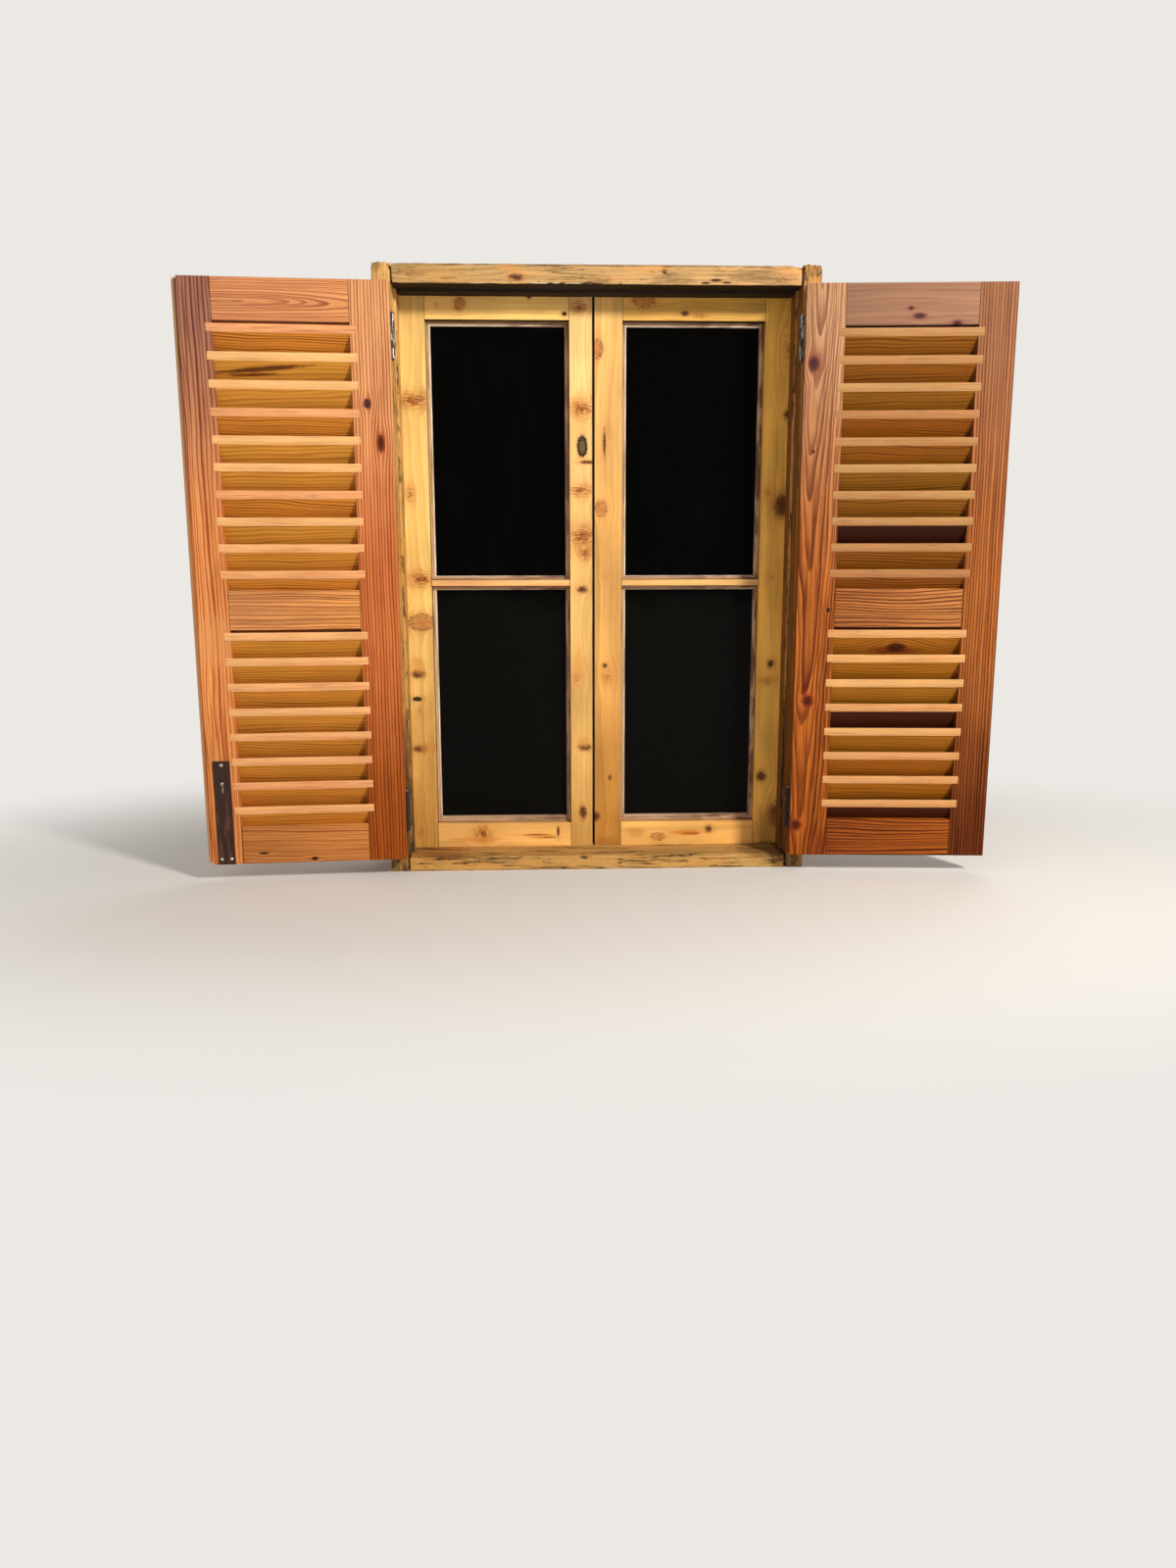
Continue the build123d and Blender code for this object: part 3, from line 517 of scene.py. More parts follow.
BOARDS = {
    # Left shutter
    "left_shutter_free_stile": dict(
        LEFT_STILE, seed=1, pith=(-150, 20), ring=7.0,
        early=((226, 150, 82), (233, 153, 88), (160, 108, 86)),
        late=((154, 58, 18), (158, 62, 26), (78, 38, 34)),
        lean=0.02, broad=0.75, painted_highlight=(-0.6, 0.6, (240, 186, 132), 0.85),
        stains=((-40, 480, 60, 60, (224, 152, 92), 0.5),)),
    "left_shutter_hinge_stile": dict(
        LEFT_STILE, seed=2, pith=(-150, 60), ring=5.6,
        early=((173, 86, 22), (210, 120, 64), (224, 164, 110)),
        late=((66, 14, 3), (116, 36, 14), (150, 70, 42)),
        crowd=0.8, wander=0.35, hair=0.7,
        knots=((-344, 927, 6, 8, "violet"), (-367, 856, 6, 15, "ember"))),
    "left_shutter_top_rail": dict(
        LEFT_RAIL, seed=3, pith=(1104, -24), ring=3.6,
        early=((218, 152, 96), (212, 144, 92)), late=((158, 74, 50), (138, 64, 54)),
        lean=0.075, wander=0.6),
    "left_shutter_mid_rail": dict(
        LEFT_RAIL, seed=4, pith=(400, -10), ring=5.0,
        early=((232, 156, 84), (216, 146, 88)), late=((98, 38, 20), (104, 44, 32)),
        wander=0.7),
    "left_shutter_bottom_rail": dict(
        LEFT_RAIL, seed=5, pith=(-10, -20), ring=6.0,
        early=((204, 134, 68), (194, 124, 64)), late=((134, 56, 20), (126, 56, 24)),
        contrast=0.8, knots=((59, -107, 1.8, 8, "spot"), (45, -207, 3, 5, "spot"))),

    # Right shutter: darker than the left, partly its own tone and partly painted shade
    "right_shutter_hinge_stile": dict(
        RIGHT_STILE, seed=6, pith=(366, 8), ring=5.6,
        early=((176, 92, 24), (178, 100, 38), (190, 145, 106)),
        late=((62, 13, 1), (78, 22, 5), (116, 68, 45)),
        lean=0.045, wander=1.2, thin=0.1, broad=0.6, hair=0.8,
        knots=((374, 1003, 8.5, 12.5, "violet"), (364, 357, 10, 11, "ember"),
               (380, 101, 10, 11, "ember"), (369, 841, 2, 3, "spot"),
               (329.5, 538, 3, 4, "spot")),
        stains=((336, 60, 20, 60, (100, 34, 8), 0.5),)),
    "right_shutter_free_stile": dict(
        RIGHT_STILE, seed=7, pith=(190, 40), ring=5.4,
        early=((110, 48, 8), (170, 98, 42), (154, 102, 66)),
        late=((30, 5, 1), (80, 28, 8), (88, 44, 26)),
        crowd=1.2, wander=0.5, broad=0.5, thin=0.25),
    "right_shutter_top_rail": dict(
        RIGHT_RAIL, seed=8, pith=(980, 10), ring=9.0,
        early=((152, 110, 85), (138, 100, 77)), late=((118, 76, 56), (104, 64, 50)),
        contrast=0.3, hair=0.3,
        knots=((1088, 178, 5, 11, "plum"), (1102, 195, 3, 5, "plum"),
               (1074, 107, 5, 9, "plum"))),
    "right_shutter_mid_rail": dict(
        RIGHT_RAIL, seed=9, pith=(620, 0), ring=6.0,
        early=((190, 122, 64), (168, 98, 48)), late=((66, 18, 5), (44, 10, 3))),
    "right_shutter_bottom_rail": dict(
        RIGHT_RAIL, seed=10, pith=(0, -4), ring=6.5,
        early=((170, 88, 26), (150, 72, 20)), late=((54, 10, 1), (42, 7, 1)),
        wander=1.3),

    # Left casement
    # Darker towards the foot: painted shadow
    "left_sash_outer_stile": dict(
        SASH_STILE, seed=11, pith=(-470, 60),
        early=((216, 160, 78), (250, 212, 126), HONEY), late=((190, 124, 50), AMBER, AMBER),
        knots=((-366, 951, 26, 12, "feather"), (-361, 597, 22, 12, "feather"),
               (-363, 509, 22, 13, "red"), (-373, 401, 11, 7, "dark"),
               (-376, 349, 8, 4, "spot"), (-373, 243, 12, 6, "dark"),
               (-376, 60, 9, 9, "soft"), (-379, 768, 8, 14, "soft"),
               (-372, 325, 3, 6, "soft")),
        stains=((-372, 420, 16, 22, (214, 150, 70), 0.6), (-356, 245, 22, 14, (206, 142, 66), 0.6),
                (-380, 120, 26, 70, (206, 146, 70), 0.5))),
    "left_sash_top_rail": dict(
        LEFT_SASH_RAIL, seed=12, pith=(1230, 60), painted_shade=(SHADE_UNDER_HEAD,),
        early=((255, 212, 124),) * 2, late=((246, 178, 92),) * 2,
        knots=((1134, -270, 9, 8, "red"), (1116, -63, 3, 4, "spot"),
               (1148, -133, 4, 4, "dark"), (1132, -316, 3, 3, "soft"))),
    "left_sash_meeting_stile": dict(
        SASH_STILE, seed=13, pith=(60, 66),
        # Painted shade on the side that faces the other casement
        painted_shade=((RIGHTWARD, AHEAD, (52, 27, 12), 0.95),),
        early=((208, 160, 84), (248, 206, 136)), late=((190, 134, 62), (222, 158, 86)),
        knots=((-35, 1129, 13, 8, "feather"), (-29, 936, 18, 14, "feather"),
               (-28, 862, 8, 17, "hole"), (-17, 831, 15, 3, "dark"),
               (-33, 775, 17, 9, "feather"), (-27, 683, 23, 17, "feather"),
               (-22, 648, 9, 10, "feather"), (-29, 575, 9, 6, "dark"),
               (-41, 391, 10, 12, "soft"), (-24, 243, 11, 6, "dark"),
               (-28, 102, 7, 13, "dark")),
        stains=((-36, 420, 16, 40, (210, 146, 68), 0.5), (-26, 255, 16, 14, (206, 140, 64), 0.6))),
    "left_sash_bottom_rail": dict(
        LEFT_SASH_RAIL, seed=14, pith=(-40, 60),
        early=((244, 186, 106),) * 2,
        knots=((56, -245, 15, 13, "feather"), (53, -130, 1.6, 20, "dark"),
               (47, -104, 1.4, 13, "dark"), (60, -82, 9, 2.4, "dark")),
        stains=((50, -118, 7, 34, (212, 138, 62), 0.6), (44, -260, 7, 60, (214, 140, 70), 0.6))),

    # Right casement
    "right_sash_meeting_stile": dict(
        SASH_STILE, seed=15, pith=(-70, 62),
        # Painted shade on the side that faces the other casement
        painted_shade=((LEFTWARD, AHEAD, (52, 27, 12), 0.95),),
        early=((194, 134, 58), (222, 168, 94), (236, 188, 112)),
        late=((174, 112, 42), (196, 134, 64), (210, 150, 80)),
        knots=((17, 868, 2.5, 22, "dark"), (9.6, 738, 10, 12, "red"), (22, 600, 5, 5, "soft"),
               (2, 1050, 9, 14, "red"), (18.6, 417, 4, 4, "spot"), (24, 394, 10, 14, "soft"),
               (30, 178, 4, 5, "dark"), (-1, 92, 8, 9, "dark")),
        stains=((40, 240, 18, 90, (206, 144, 66), 0.5), (20, 30, 30, 22, (150, 100, 48), 0.5))),
    "right_sash_top_rail": dict(
        RIGHT_SASH_RAIL, seed=16, pith=(1010, 64), painted_shade=(SHADE_UNDER_HEAD,),
        early=((243, 188, 95), (225, 174, 80)), late=((212, 149, 68), (196, 135, 53)),
        knots=((1142, 95, 10, 17, "red"), (1118, 178, 4, 7, "dark"),
               (1114, 208, 6, 12, "soft"))),
    # Painted shade: this stile is in shaded copies of the casement colours
    "right_sash_outer_stile": dict(
        SASH_STILE, seed=17, pith=(300, 62),
        early=(HONEY_IN_PAINTED_SHADE, HONEY_IN_PAINTED_SHADE), late=(AMBER_IN_PAINTED_SHADE, AMBER_IN_PAINTED_SHADE),
        knots=((383, 744, 14, 22, "dark"), (392, 925, 8, 7, "dark"), (389, 1052, 10, 26, "soft"),
               (354, 769, 8, 8, "soft"), (367, 599, 5, 6, "soft"), (369.5, 419, 6, 7, "dark"),
               (363, 383, 14, 8, "soft"), (355, 177, 9, 10, "dark"), (385, 92, 11, 22, "dark")),
        stains=((372, 26, 34, 9, (44, 30, 16), 0.8), (372, 60, 34, 60, (168, 112, 48), 0.6),
                (372, 620, 20, 120, (206, 150, 70), 0.4))),
    "right_sash_bottom_rail": dict(
        RIGHT_SASH_RAIL, seed=18, pith=(150, 58),
        early=((244, 186, 104), (240, 180, 98)),
        knots=((62, 244, 6, 6, "dark"), (46, 134, 7, 11, "red")),
        stains=((54, 196, 8, 36, (212, 122, 44), 0.8), (52, 206, 3, 24, (150, 70, 24), 0.7),
                (56, 85, 14, 26, (190, 132, 62), 0.5))),

    # Glazing bars
    "left_sash_glazing_bar": dict(
        LEFT_SASH_RAIL, seed=19, pith=(560, 60),
        early=((232, 180, 116),) * 2, late=((198, 132, 76),) * 2),
    "right_sash_glazing_bar": dict(
        RIGHT_SASH_RAIL, seed=20, pith=(560, 60),
        early=((218, 172, 104),) * 2, late=((188, 130, 74),) * 2),

    # Frame
    "left_jamb": dict(
        JAMB, seed=21, pith=(-470, -30),
        early=((196, 146, 76), (226, 176, 100)),
        stains=((-402, 100, 34, 130, BLACK, 0.95), (-398, 230, 12, 110, (104, 68, 32), 0.8),
                (-415, 40, 30, 50, MOSS, 0.8), (-400, 640, 10, 120, (214, 150, 60), 0.6),
                (-420, 1185, 12, 14, (120, 84, 44), 0.6))),
    "right_jamb": dict(
        JAMB, seed=22, pith=(470, -30),
        # Painted shade on the reveal
        painted_shade=((LEFTWARD, AHEAD, (122, 70, 18), 0.85),),
        early=((176, 124, 60), (206, 150, 80)),
        stains=((402, 130, 34, 170, BLACK, 0.97), (400, 300, 14, 120, (84, 52, 22), 0.8),
                (415, 1180, 14, 16, (110, 74, 40), 0.6))),
    "head_rail": dict(
        OLD_RAIL, seed=23, pith=(1120, -20),
        early=((198, 163, 104), (203, 159, 104)), late=((148, 101, 52), (156, 112, 64)),
        ring=6.5, old=0.5,
        # Painted shade under the head and on the stop's front face
        painted_shade=((DOWN, AHEAD, (12, 4, 1), 0.97), (OUTWARD, -50, (15, 5, 1), 0.97)),
        knots=((1165, -158, 5, 12, "dark"), (1176, 127, 3.5, 4, "spot"),
               (1156, 206, 1.8, 7, "spot"), (1161, 226, 2.2, 8, "spot"),
               (1157, 246, 1.6, 7, "spot")),
        stains=((1153, -80, 2.5, 50, (236, 220, 192), 0.8),
                (1166, 391, 14, 5, (228, 208, 172), 0.8),
                (1170, -350, 9, 30, (140, 110, 70), 0.7), (1168, 330, 12, 60, (150, 112, 66), 0.6),
                (1188, 0, 5, 400, (90, 62, 34), 0.6))),
    "sill_rail": dict(
        OLD_RAIL, seed=24, pith=(-30, -10),
        early=((198, 148, 77), (196, 154, 86)), late=((153, 103, 46), (160, 112, 58)), ring=5.0,
        stains=((24, -30, 4, 10, BLACK, 0.9), (28, 350, 12, 60, (96, 64, 32), 0.7),
                (24, 388, 12, 14, BLACK, 0.8), (28, -330, 8, 60, (150, 84, 40), 0.6),
                (12, -200, 8, 120, (214, 150, 74), 0.4))),
}

for board_name, board in BOARDS.items():
    paint([board_name], wood(board_name, board))


# Slats

# Colours of the sloping faces, of their grain and of the front edges, by the shutter's side:
# a slat's tone chooses between the two of each pair. The front edges' paleness is partly wear and
# partly painted highlight.
UNDER = {-1: ((214, 132, 46), (212, 145, 54)), 1: ((170, 92, 16), (160, 108, 28))}
LINES = {-1: ((96, 36, 5), (130, 70, 16)), 1: ((62, 18, 1), (80, 42, 6))}
WORN_LIT_EDGES = {-1: ((240, 168, 114), (246, 192, 126)), 1: ((208, 146, 94), (222, 176, 112))}


def slat_place(net, x, level, down, number, swirl, seed, bumps):
    """Each slat's own place in the log, and that place across the grain, led round the bumps."""
    shift = net.plus(net.times(number, 173.0), seed * 61.0)
    place = net.combine(down, net.plus(net.times(level, 0.5), shift), net.plus(x, shift))
    across = net.separate(net.strayed(place, place, (40, 40, 170), 20))[0]
    across = net.plus(across, net.times(level, 0.8))
    for slat, at, wide in bumps:
        hump = net.bell(net.over(net.minus(x, at), wide * 2.2), 1.0)
        across = net.minus(across, net.times(hump, net.equals(number, slat), 16.0))
    sag = net.times(net.minus(swirl, 0.5), net.times(x, 0.08))
    return place, net.plus(across, sag)


def marked(net, place, x, down, number, color, mark):
    """A dark mark on one slat: its place along and below the lip, half sizes, tilt and colour."""
    slat, at, below, wide, tall, tilt, tint = mark
    away = net.minus(x, at)
    low = net.minus(net.minus(down, below), net.times(away, tilt))
    spot = net.combine(net.over(away, wide), net.over(low, tall), 0)
    ragged = net.noise(place, (3, 3, 26), 3.0, 0.65)
    far = net.roughened(net.vector("LENGTH", spot), ragged, 1.0)
    return net.lay(color, tint, net.smooth(far, 1.1, 0.45), net.equals(number, slat), 0.92)


def slat_wood(name, side, seed, first_top, pitch, tones, slats_in_painted_shade=(), marks=(), shade=1.0):
    """All the slats of one louvre: each has its own tone and grain, and a pale front edge that is
    partly worn and partly painted highlight.
    """
    net = Net(name)
    x, y, z = net.separate(net.point(side))
    behind = net.minus(y, LEAF_FACE)
    level = net.minus(z, net.times(behind, SLAT_SLOPE))
    down = net.times(behind, 2.0)
    number = net.math("FLOOR", net.over(net.minus(first_top + 6.0, level), pitch))
    tone = 0.0
    for slat, value in enumerate(tones):
        tone = net.plus(tone, net.times(net.equals(number, slat), value))
    own = net.random(net.plus(number, seed * 11.0))
    swirl = net.plus(net.times(tone, 0.8), net.times(own, 0.2))
    bumps = [(slat, at, wide) for slat, at, below, wide, tall, tilt, tint in marks if tilt == 0]
    place, across = slat_place(net, x, level, down, number, swirl, seed, bumps)

    rings = net.over(across, net.lerp(swirl, 0, 1, 4.6, 9.0))
    part = net.math("FRACT", rings)
    late = net.times(net.smooth(part, 0.35, 0.85), net.smooth(part, 1.0, 0.95),
                     net.lerp(net.random(net.math("FLOOR", rings)), 0, 1, 0.3, 1.0))
    fibre = net.noise(place, (1.1, 1.1, 70), 3.0, 0.65)
    cloud = net.noise(place, (30, 30, 120), 2.0)
    lines = net.mix(tone, *LINES[side])
    color = net.lay(net.mix(tone, *UNDER[side]), lines, late, net.lerp(swirl, 0, 1, 1.0, 0.45))
    # Painted shade: the sloping faces of the listed slats turn near black
    for slat in slats_in_painted_shade:
        back = net.smooth(y, LEAF_FACE - 0.4, LEAF_FACE - 1.4)
        color = net.lay(color, (48, 9, 3), net.equals(number, slat), back, 0.95)
    streak = net.smooth(net.noise(place, (2.2, 2.2, 150), 3.0, 0.65), 0.46, 0.66)
    # Pale front edge: partly wear, partly painted highlight
    edge_wear_and_highlight = net.lay(net.mix(tone, *WORN_LIT_EDGES[side]), (206, 116, 60), streak,
                   net.lerp(swirl, 0, 1, 0.6, 0.25))
    color = net.mix(net.smooth(y, LEAF_FACE - 0.9, LEAF_FACE - 0.3), color, edge_wear_and_highlight)
    color = net.lay(color, lines, net.smooth(fibre, 0.5, 0.72), 0.4)
    for mark in marks:
        color = marked(net, place, x, down, number, color, mark)
    drift = net.lerp(cloud, 0.25, 0.75, 0.9, 1.08)
    color = net.scale(color, net.plus(drift, net.lerp(fibre, 0.3, 0.7, -0.05, 0.05)))
    # A shade below 1 is painted shade over the whole louvre
    color = net.scale(color, shade)
    height = net.plus(net.times(late, 0.08), net.times(fibre, 0.14))
    roughness = net.lerp(fibre, 0.2, 0.8, 0.45, 0.62)
    return net.surface(color, roughness, height, Specular_IOR_Level=0.12)


LOUVRES = {
    "left_shutter_upper_slats": dict(
        side=-1, seed=1, first_top=UPPER_TOP, pitch=UPPER_PITCH,
        tones=(0.1, 1.0, 0.8, 0.1, 0.9, 0.7, 0.05, 0.8, 0.5, 0.2),
        marks=((1, -150, -17, 110, 6, -0.09, (84, 34, 8)),
               (1, -130, -28, 60, 4, -0.05, (104, 48, 12)))),
    "left_shutter_lower_slats": dict(
        side=-1, seed=2, first_top=LOWER_TOP, pitch=LOWER_PITCH,
        tones=(0.6, 0.5, 0.4, 0.6, 0.3, 0.4, 0.15, 0.45)),
    # Painted shade: these slats darker all over, and slat 7 near black
    "right_shutter_upper_slats": dict(
        side=1, seed=3, first_top=UPPER_TOP, pitch=UPPER_PITCH,
        tones=(0.4, 0.3, 0.6, 0.1, 0.3, 0.7, 0.5, 0.5, 0.3, 0.1), slats_in_painted_shade=(7,), shade=0.65),
    # Painted shade: slats 3 and 7 near black
    "right_shutter_lower_slats": dict(
        side=1, seed=4, first_top=LOWER_TOP, pitch=LOWER_PITCH,
        tones=(0.45, 0.55, 0.7, 0.3, 0.6, 0.2, 0.4, 0.3), slats_in_painted_shade=(3, 7),
        marks=((0, 192, -30, 62, 13, 0.0, (118, 56, 16)),
               (0, 190, -24, 24, 14, 0.0, (58, 18, 5)))),
}
for louvre_name, louvre in LOUVRES.items():
    paint([louvre_name], slat_wood(louvre_name, **louvre))


# Beads and glass


def bead_wood(name, pane, lit_left_tone, shaded_right_tone):
    """Greyed strips round the panes, with painted shade in the joint outside and a painted
    highlight on the arris inside. The left side's tone is painted light and the right side's
    painted shade.
    """
    left, right = pane
    net = Net(name)
    x, y, z = net.separate(net.point())
    flat = net.to_nearer(z, (LIGHT_BOTTOM, LIGHT_TOP))
    flat = net.math("MINIMUM", flat, net.apart(net.apart(z, BAR_CENTRE), BAR_HALF_FACE))
    edge = net.to_nearer(x, (left, right))
    lying = net.math("LESS_THAN", flat, edge)
    along = net.plus(net.times(lying, x), net.times(net.minus(1.0, lying), z))
    across = net.math("MINIMUM", flat, edge)
    place = net.combine(across, y, along)
    fibre = net.noise(place, (1.0, 1.0, 60), 3.0, 0.65)
    patch = net.noise(place, (14, 14, 70), 3.0, 0.6)
    old = net.noise(place, (4, 4, 120), 3.0, 0.65)
    own = net.mix(net.smooth(x, left + 60, right - 60), lit_left_tone, shaded_right_tone)
    color = net.mix(net.smooth(patch, 0.42, 0.6), own, (188, 152, 118))
    color = net.lay(color, (92, 60, 42), net.smooth(old, 0.5, 0.62), 0.6)
    color = net.lay(color, (112, 78, 58), net.smooth(fibre, 0.5, 0.74), 0.5)
    # Painted highlight on the arris by the glass, in patches, weaker low down and on the right
    arris_highlight = net.times(net.smooth(across, 6.2, 7.6), net.lerp(patch, 0.38, 0.62, 0.15, 1.0),
                           net.smooth(z, LIGHT_BOTTOM + 9, LIGHT_BOTTOM + 33),
                           net.lerp(x, right - 16, right - 9, 1.0, 0.12))
    color = net.mix(arris_highlight, color, (240, 222, 200))
    # Painted shade in the joint beside the sash
    color = net.lay(color, (40, 22, 13), net.smooth(across, 1.7, 0.7), 0.9)
    return net.surface(color, net.lerp(fibre, 0.2, 0.8, 0.5, 0.72), net.times(fibre, 0.2),
                       Specular_IOR_Level=0.2)


def glass(name):
    """Old pane, dark as painted shade of an unlit room behind it and a little lighter low down,
    with faint waves and a little dust.
    """
    net = Net(name)
    point = net.point()
    wave = net.noise(point, (90, 90, 160), 1.0)
    dust = net.smooth(net.noise(point, (60, 60, 220), 3.0, 0.6), 0.5, 0.8)
    lower = net.smooth(net.separate(point)[2], 640, 520)
    color = net.mix(lower, (3, 3, 2), (9, 8, 6))
    color = net.lay(color, (12, 11, 9), dust, 0.4)
    return net.surface(color, net.lerp(dust, 0, 1, 0.05, 0.14), net.times(wave, 1.2),
                       Specular_IOR_Level=0.05, IOR=1.46)


# Each bead's left tone is painted light and its right tone painted shade
paint(["left_sash_beads"], bead_wood("left_beads", LEFT_PANE, (206, 172, 132), (146, 112, 90)))
paint(["right_sash_beads"], bead_wood("right_beads", RIGHT_PANE, (186, 156, 124), (112, 78, 62)))
paint([n for n in NODES if n.endswith("_pane")], glass("pane"))


# Metal


def metal(name, base, tarnish, worn_spot, size, metallic, rough, amount=0.6, rub=0.58):
    """Old metal: tarnish in patches of the given size, rubbed spots and fine grit."""
    net = Net(name)
    point = net.point()
    patch = net.noise(point, (size, size, size), 4.0, 0.65)
    rubbed = net.noise(point, (size * 0.4, size * 0.4, size * 2.2), 3.0, 0.6)
    grit = net.noise(point, (0.8, 0.8, 1.2), 3.0, 0.7)
    color = net.lay(base, tarnish, net.smooth(patch, 0.45, 0.62), amount)
    color = net.lay(color, worn_spot, net.smooth(rubbed, rub, rub + 0.06), 0.85)
    color = net.scale(color, net.lerp(grit, 0.3, 0.7, 0.86, 1.12))
    height = net.plus(net.times(grit, 0.08), net.times(patch, 0.2))
    return net.surface(color, net.lerp(patch, 0.3, 0.7, *rough), height, Metallic=metallic)


paint([n for n in NODES if n.endswith(("_flap", "_flaps", "_pins"))],
      metal("hinge_steel", (84, 72, 62), (52, 34, 24), (216, 208, 198), 9.0, 0.4, (0.4, 0.62),
            rub=0.52))
paint([n for n in NODES if "lower_hinge" in n],
      metal("hinge_rust", (52, 40, 32), (30, 20, 14), (150, 136, 120), 9.0, 0.3, (0.5, 0.7),
            rub=0.64))
paint([n for n in NODES if n.endswith("_screws")],
      metal("zinc_steel", (206, 202, 194), (160, 150, 136), (236, 234, 228), 5.0, 0.85,
            (0.25, 0.42), 0.4))
paint(["slide_bolt", "bolt_knob"],
      metal("bolt_steel", (160, 146, 130), (92, 74, 62), (220, 214, 206), 5.0, 0.8, (0.28, 0.45),
            0.5))
paint(["bolt_plate"],
      metal("plate_steel", (52, 23, 9), (36, 15, 6), (90, 54, 34), 22.0, 0.25, (0.4, 0.58)))
paint([n for n in NODES if n.startswith("latch_")],
      metal("old_brass", (158, 124, 70), (96, 74, 48), (206, 176, 112), 7.0, 0.85, (0.3, 0.5)))


# Rounded arrises


def soften(node_name, width):
    """Rounds a board's arrises a little, as a plane and years of handling do."""
    piece = NODES[node_name]
    weld = piece.modifiers.new("join", "WELD")
    weld.merge_threshold = 1e-5
    flat = piece.modifiers.new("flatten", "DECIMATE")
    flat.decimate_type = "DISSOLVE"
    flat.angle_limit = math.radians(1)
    bevel = piece.modifiers.new("arris", "BEVEL")
    bevel.width = width * MM
    bevel.segments = 2
    bevel.limit_method = "ANGLE"
    bevel.angle_limit = math.radians(35)
    piece.modifiers.new("shade", "WEIGHTED_NORMAL")


for board_name in BOARDS:
    soften(board_name, 1.0 if "sash" in board_name else 1.3)
for louvre_name in LOUVRES:
    soften(louvre_name, 0.7)


# Worn frame


def steps(low, high, size, edge=(1.2, 3.5)):
    """Places to cut between low and high: even ones, and a few close to both ends."""
    count = max(2, round((high - low) / size))
    even = [low + (high - low) * i / count for i in range(1, count)]
    close = [low + e for e in edge] + [high - e for e in edge]
    return sorted(v for v in set(even + close) if low < v < high)


def sliced(node, cuts):
    """The node's mesh in the model's frame, cut at the given places across each axis."""
    shape = bmesh.new()
    shape.from_mesh(node.data)
    shape.transform(node.matrix_world)
    bmesh.ops.remove_doubles(shape, verts=shape.verts, dist=1e-5)
    bmesh.ops.dissolve_limit(shape, angle_limit=math.radians(1), verts=shape.verts,
                             edges=shape.edges)
    for axis, places in enumerate(cuts):
        normal = tuple(1.0 if i == axis else 0.0 for i in range(3))
        for at in places:
            bmesh.ops.bisect_plane(shape, geom=shape.verts[:] + shape.edges[:] + shape.faces[:],
                                   plane_co=tuple(n * at * MM for n in normal), plane_no=normal)
    shape.normal_update()
    return shape


def inward(vert, grain, face_wear, arris_wear):
    """How far one point of a worn face sinks, and more so on an arris."""
    p = vert.co / MM
    q = Vector([p[i] * grain[i] for i in range(3)])
    mean = sum((f.normal for f in vert.link_faces), Vector()) / len(vert.link_faces)
    arris = min(1.0, max(0.0, (0.97 - mean.length) * 5))
    ripple = max(0.0, noise.noise(q * 2.2 + Vector((7, 3, 1))) + 0.35)
    chew = (max(0.0, noise.noise(q * 1.3 + Vector((31, 17, 5))) + 0.12)
            + 0.35 * max(0.0, noise.noise(p * 0.11)))
    return face_wear * ripple + arris * arris_wear * (0.22 + 1.9 * chew)


def bitten(p, centre, size, push):
    """The move of a point by one bite, with a rough bottom."""
    off = Vector([(p[i] - centre[i]) / size[i] for i in range(3)])
    near = max(0.0, 1.0 - off.length_squared)
    rough = 0.55 + 0.9 * noise.noise(p * 0.16 + Vector((2, 9, 4)))
    return Vector(push) * near * rough


def torn_end(p, depth):
    """How far the end grain at a jamb's top has crumbled."""
    high = min(1.0, max(0.0, (p.z - 1166) / 27))
    torn = (0.5 + noise.noise(Vector((p.x * 0.21, p.y * 0.05, 3.0)))
            + 0.4 * noise.noise(Vector((p.x * 0.6, p.y * 0.3, 9.0))))
    return depth * high * max(0.0, torn)


def worn(board_name, cuts, face_wear, arris_wear, bites=(), ragged_top=0.0):
    """Weathered copy of a frame member: rippled faces and chewed arrises, always inward."""
    shape = sliced(NODES[board_name], cuts)
    along = max(range(3), key=lambda i: len(cuts[i]))
    grain = [0.02 if i == along else 0.16 for i in range(3)]
    moves = []
    for vert in shape.verts:
        p = vert.co / MM
        move = -vert.normal * inward(vert, grain, face_wear, arris_wear)
        for bite in bites:
            move += bitten(p, *bite)
        if ragged_top:
            move.z -= torn_end(p, ragged_top)
        moves.append((vert, move))
    for vert, move in moves:
        vert.co += move * MM
    for face in shape.faces:
        face.smooth = True
    made = add(board_name + "_worn", mesh_of(board_name + "_worn", shape))
    for slot in NODES[board_name].material_slots[:1]:
        made.data.materials.append(slot.material)
    normals = made.modifiers.new("shade", "WEIGHTED_NORMAL")
    normals.keep_sharp = True
    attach(made, "frame")
    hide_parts(board_name)


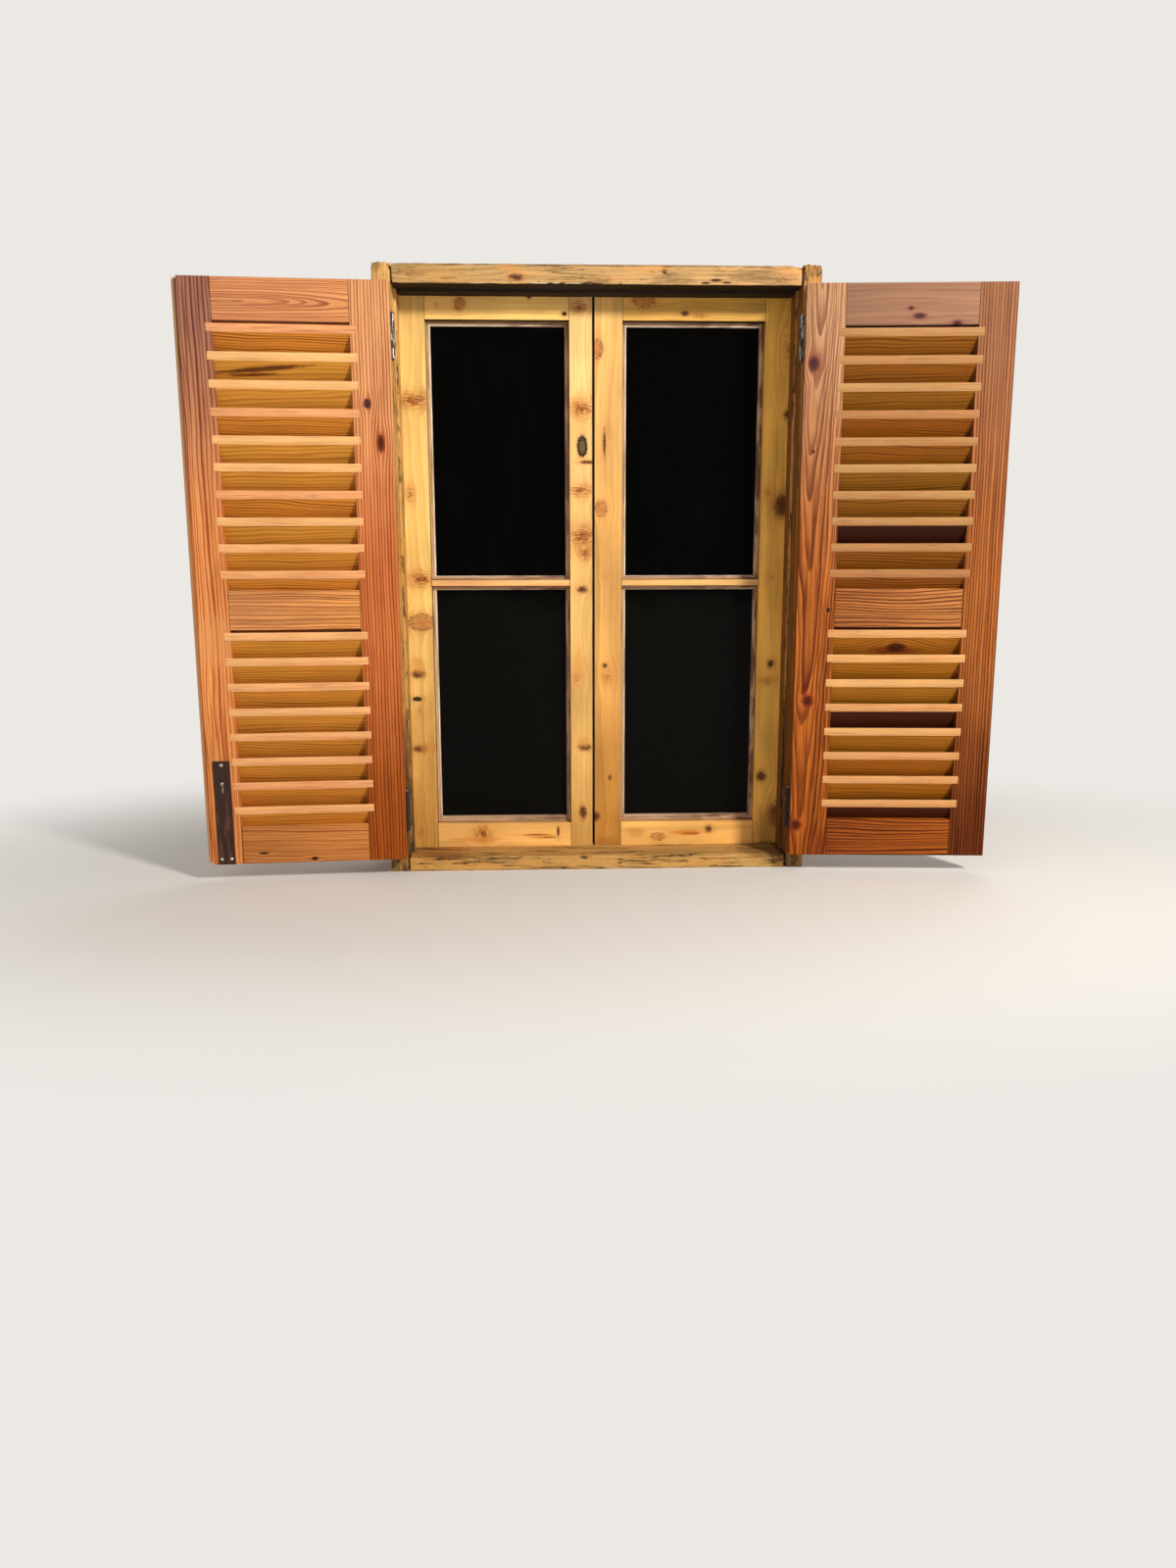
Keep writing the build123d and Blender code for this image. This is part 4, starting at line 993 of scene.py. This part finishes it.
def gap_shade_strip():
    """Dark ridge on the left casement's closing edge, in the gap at the back: painted shade for the
    gap.
    """
    low, high = Vector((-5.88, 61.0, 24.0)), Vector((-5.28, 64.8, 1155.0))
    shape = bmesh.new()
    rows = 60
    rings = []
    for i in range(rows + 1):
        z = low.z + (high.z - low.z) * i / rows
        out = high.x - 0.12 * abs(noise.noise(Vector((0.5, 0.5, z * 0.05))))
        corners = ((low.x, low.y), (out, low.y + 0.8), (out, high.y - 0.6), (low.x, high.y))
        rings.append([shape.verts.new((x * MM, y * MM, z * MM)) for x, y in corners])
    for a, b in zip(rings, rings[1:]):
        for i in range(4):
            shape.faces.new((a[i], a[(i + 1) % 4], b[(i + 1) % 4], b[i]))
    shape.faces.new(rings[0][::-1])
    shape.faces.new(rings[-1])
    bmesh.ops.recalc_face_normals(shape, faces=shape.faces[:])
    made = add("closing_ridge", mesh_of("closing_ridge", shape))
    net = Net("old_varnish")
    grain = net.noise(net.point(), (2, 2, 30), 3.0, 0.6)
    # Near black: painted shade in the gap
    color = net.mix(grain, (30, 15, 7), (56, 30, 14))
    made.data.materials.append(net.surface(color, 0.6, grain))
    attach(made, "left_sash")


gap_shade_strip()

# Places to cut: even steps along and through a member, and closer ones beside its edges
ALONG_JAMB, ALONG_RAIL = steps(0, JAMB_TOP, 5.0), steps(-REVEAL, REVEAL, 5.0)
DEEP = steps(FRONT, BACK, 14) + [at + e for at in (STOP_FRONT, STOP_BACK) for e in (-1.2, 1.2)]
JAMB_FACE = (396.2, 401, 404, 409, 416, 423, 428.8)
HEAD_FACE = (1153.2, 1156, 1163, 1170, 1178, 1184, 1186.8)
SILL_FACE = (1.2, 4, 9, 14, 20.5, 24, 27.8)

# A bite is its centre, its half sizes and how far it pushes the surface
for board_name, side in (("left_jamb", -1), ("right_jamb", 1)):
    worn(board_name, (sorted(side * v for v in JAMB_FACE), DEEP, ALONG_JAMB), 0.5, 1.5,
         ragged_top=6.0, bites=(
             ((side * REVEAL, FRONT, 1188), (9, 12, 12), (side * 4, 5, -3)),
             ((side * JAMB_OUTER, FRONT, 1192), (10, 16, 9), (-side * 4, 4, -5))))
worn("head_rail", (ALONG_RAIL, DEEP, HEAD_FACE), 0.5, 1.4, bites=(
    ((-14, FRONT, HEAD_BOTTOM), (24, 10, 5), (0, 7, 4)),
    ((-75, FRONT, HEAD_BOTTOM), (46, 6, 4), (0, 2.5, 2)),
    ((386, FRONT, 1186), (14, 10, 8), (-2, 4, -4)),
    ((-392, FRONT, 1153), (10, 10, 8), (2, 4, 4))))
worn("sill_rail", (ALONG_RAIL, DEEP, SILL_FACE), 0.5, 2.0, bites=(
    ((-30, FRONT, 28), (12, 12, 9), (0, 8, -6)),
    ((150, FRONT, SILL_TOP), (60, 9, 5), (0, 2.5, -3))))


# Floor, light and camera

PALE = (236, 233, 228)


def floor_material():
    """Pale and shadowed near the object, and the same as the background further off."""
    net = Net("floor_pale")
    point = net.node("ShaderNodeTexCoord").outputs["Object"]
    reach = net.vector("LENGTH", net.vector("MULTIPLY", point, (0.62, 1, 1)))
    far = net.smooth(reach, 0.5, 1.25)
    ground = net.shader("ShaderNodeBsdfDiffuse", Color=linear((226, 223, 218)))
    glow = net.shader("ShaderNodeEmission", Color=linear(PALE))
    rays = net.node("ShaderNodeLightPath").outputs
    bounced = net.math("MAXIMUM", rays["Is Glossy Ray"], rays["Is Transmission Ray"])
    seen = net.math("MAXIMUM", rays["Is Camera Ray"], bounced)
    return net.close("ShaderNodeOutputMaterial", net.choose(net.times(far, seen), ground, glow))


disc = bmesh.new()
bmesh.ops.create_circle(disc, cap_ends=True, radius=14.0, segments=128)
floor = add("floor", mesh_of("floor", disc))
floor.data.materials.append(floor_material())


def world_light(strength):
    """An even pale sky, seen as the plain background colour."""
    net = Net("studio", bpy.data.worlds)
    bpy.context.scene.world = net.owner
    rays = net.node("ShaderNodeLightPath").outputs
    seen = net.math("MAXIMUM", rays["Is Camera Ray"], rays["Is Transmission Ray"])
    light = net.shader("ShaderNodeBackground", Color=(1.0, 0.97, 0.93, 1.0), Strength=strength)
    shown = net.shader("ShaderNodeBackground", Color=linear(PALE))
    net.close("ShaderNodeOutputWorld", net.choose(seen, light, shown))


def area(name, azimuth, elevation, distance, size, watts, color=(1, 1, 1)):
    """A square lamp aimed at the object's middle. Azimuth is from the front, to the right."""
    lamp = bpy.data.lights.new(name, "AREA")
    lamp.size = size
    lamp.energy = watts
    lamp.color = color
    made = add(name, lamp)
    a, e = math.radians(azimuth), math.radians(elevation)
    way = Vector((math.sin(a) * math.cos(e), -math.cos(a) * math.cos(e), math.sin(e)))
    made.location = Vector((0, 0, 0.6)) + way * distance
    made.rotation_euler = way.to_track_quat("Z", "Y").to_euler()


world_light(0.36)
area("key", 37, 26, 3.6, 0.42, 124, (1.0, 0.96, 0.9))
area("fill", -35, 30, 4.0, 2.6, 20)
area("back", 150, 45, 4.0, 2.6, 30)

# The camera's place in metres, and how far it is turned right, tipped down and rolled
EYE = (-0.117, -2.4494, 0.652)
YAW, PITCH, ROLL = (math.radians(v) for v in (2.3, 11.15, -0.1))
camera = bpy.data.cameras.new("camera")
camera.lens = 27.045
camera.sensor_width = 36.0
camera.clip_end = 60.0
viewer = add("camera", camera)
ahead = Vector((math.sin(YAW) * math.cos(PITCH), math.cos(YAW) * math.cos(PITCH), -math.sin(PITCH)))
level = Vector((math.cos(YAW), -math.sin(YAW), 0))
above = level.cross(ahead)
right = level * math.cos(ROLL) + above * math.sin(ROLL)
upward = above * math.cos(ROLL) - level * math.sin(ROLL)
turned = Matrix((right, upward, -ahead)).transposed().to_4x4()
viewer.matrix_world = Matrix.Translation(EYE) @ turned
bpy.context.scene.camera = viewer
bpy.context.scene.view_settings.view_transform = "Standard"
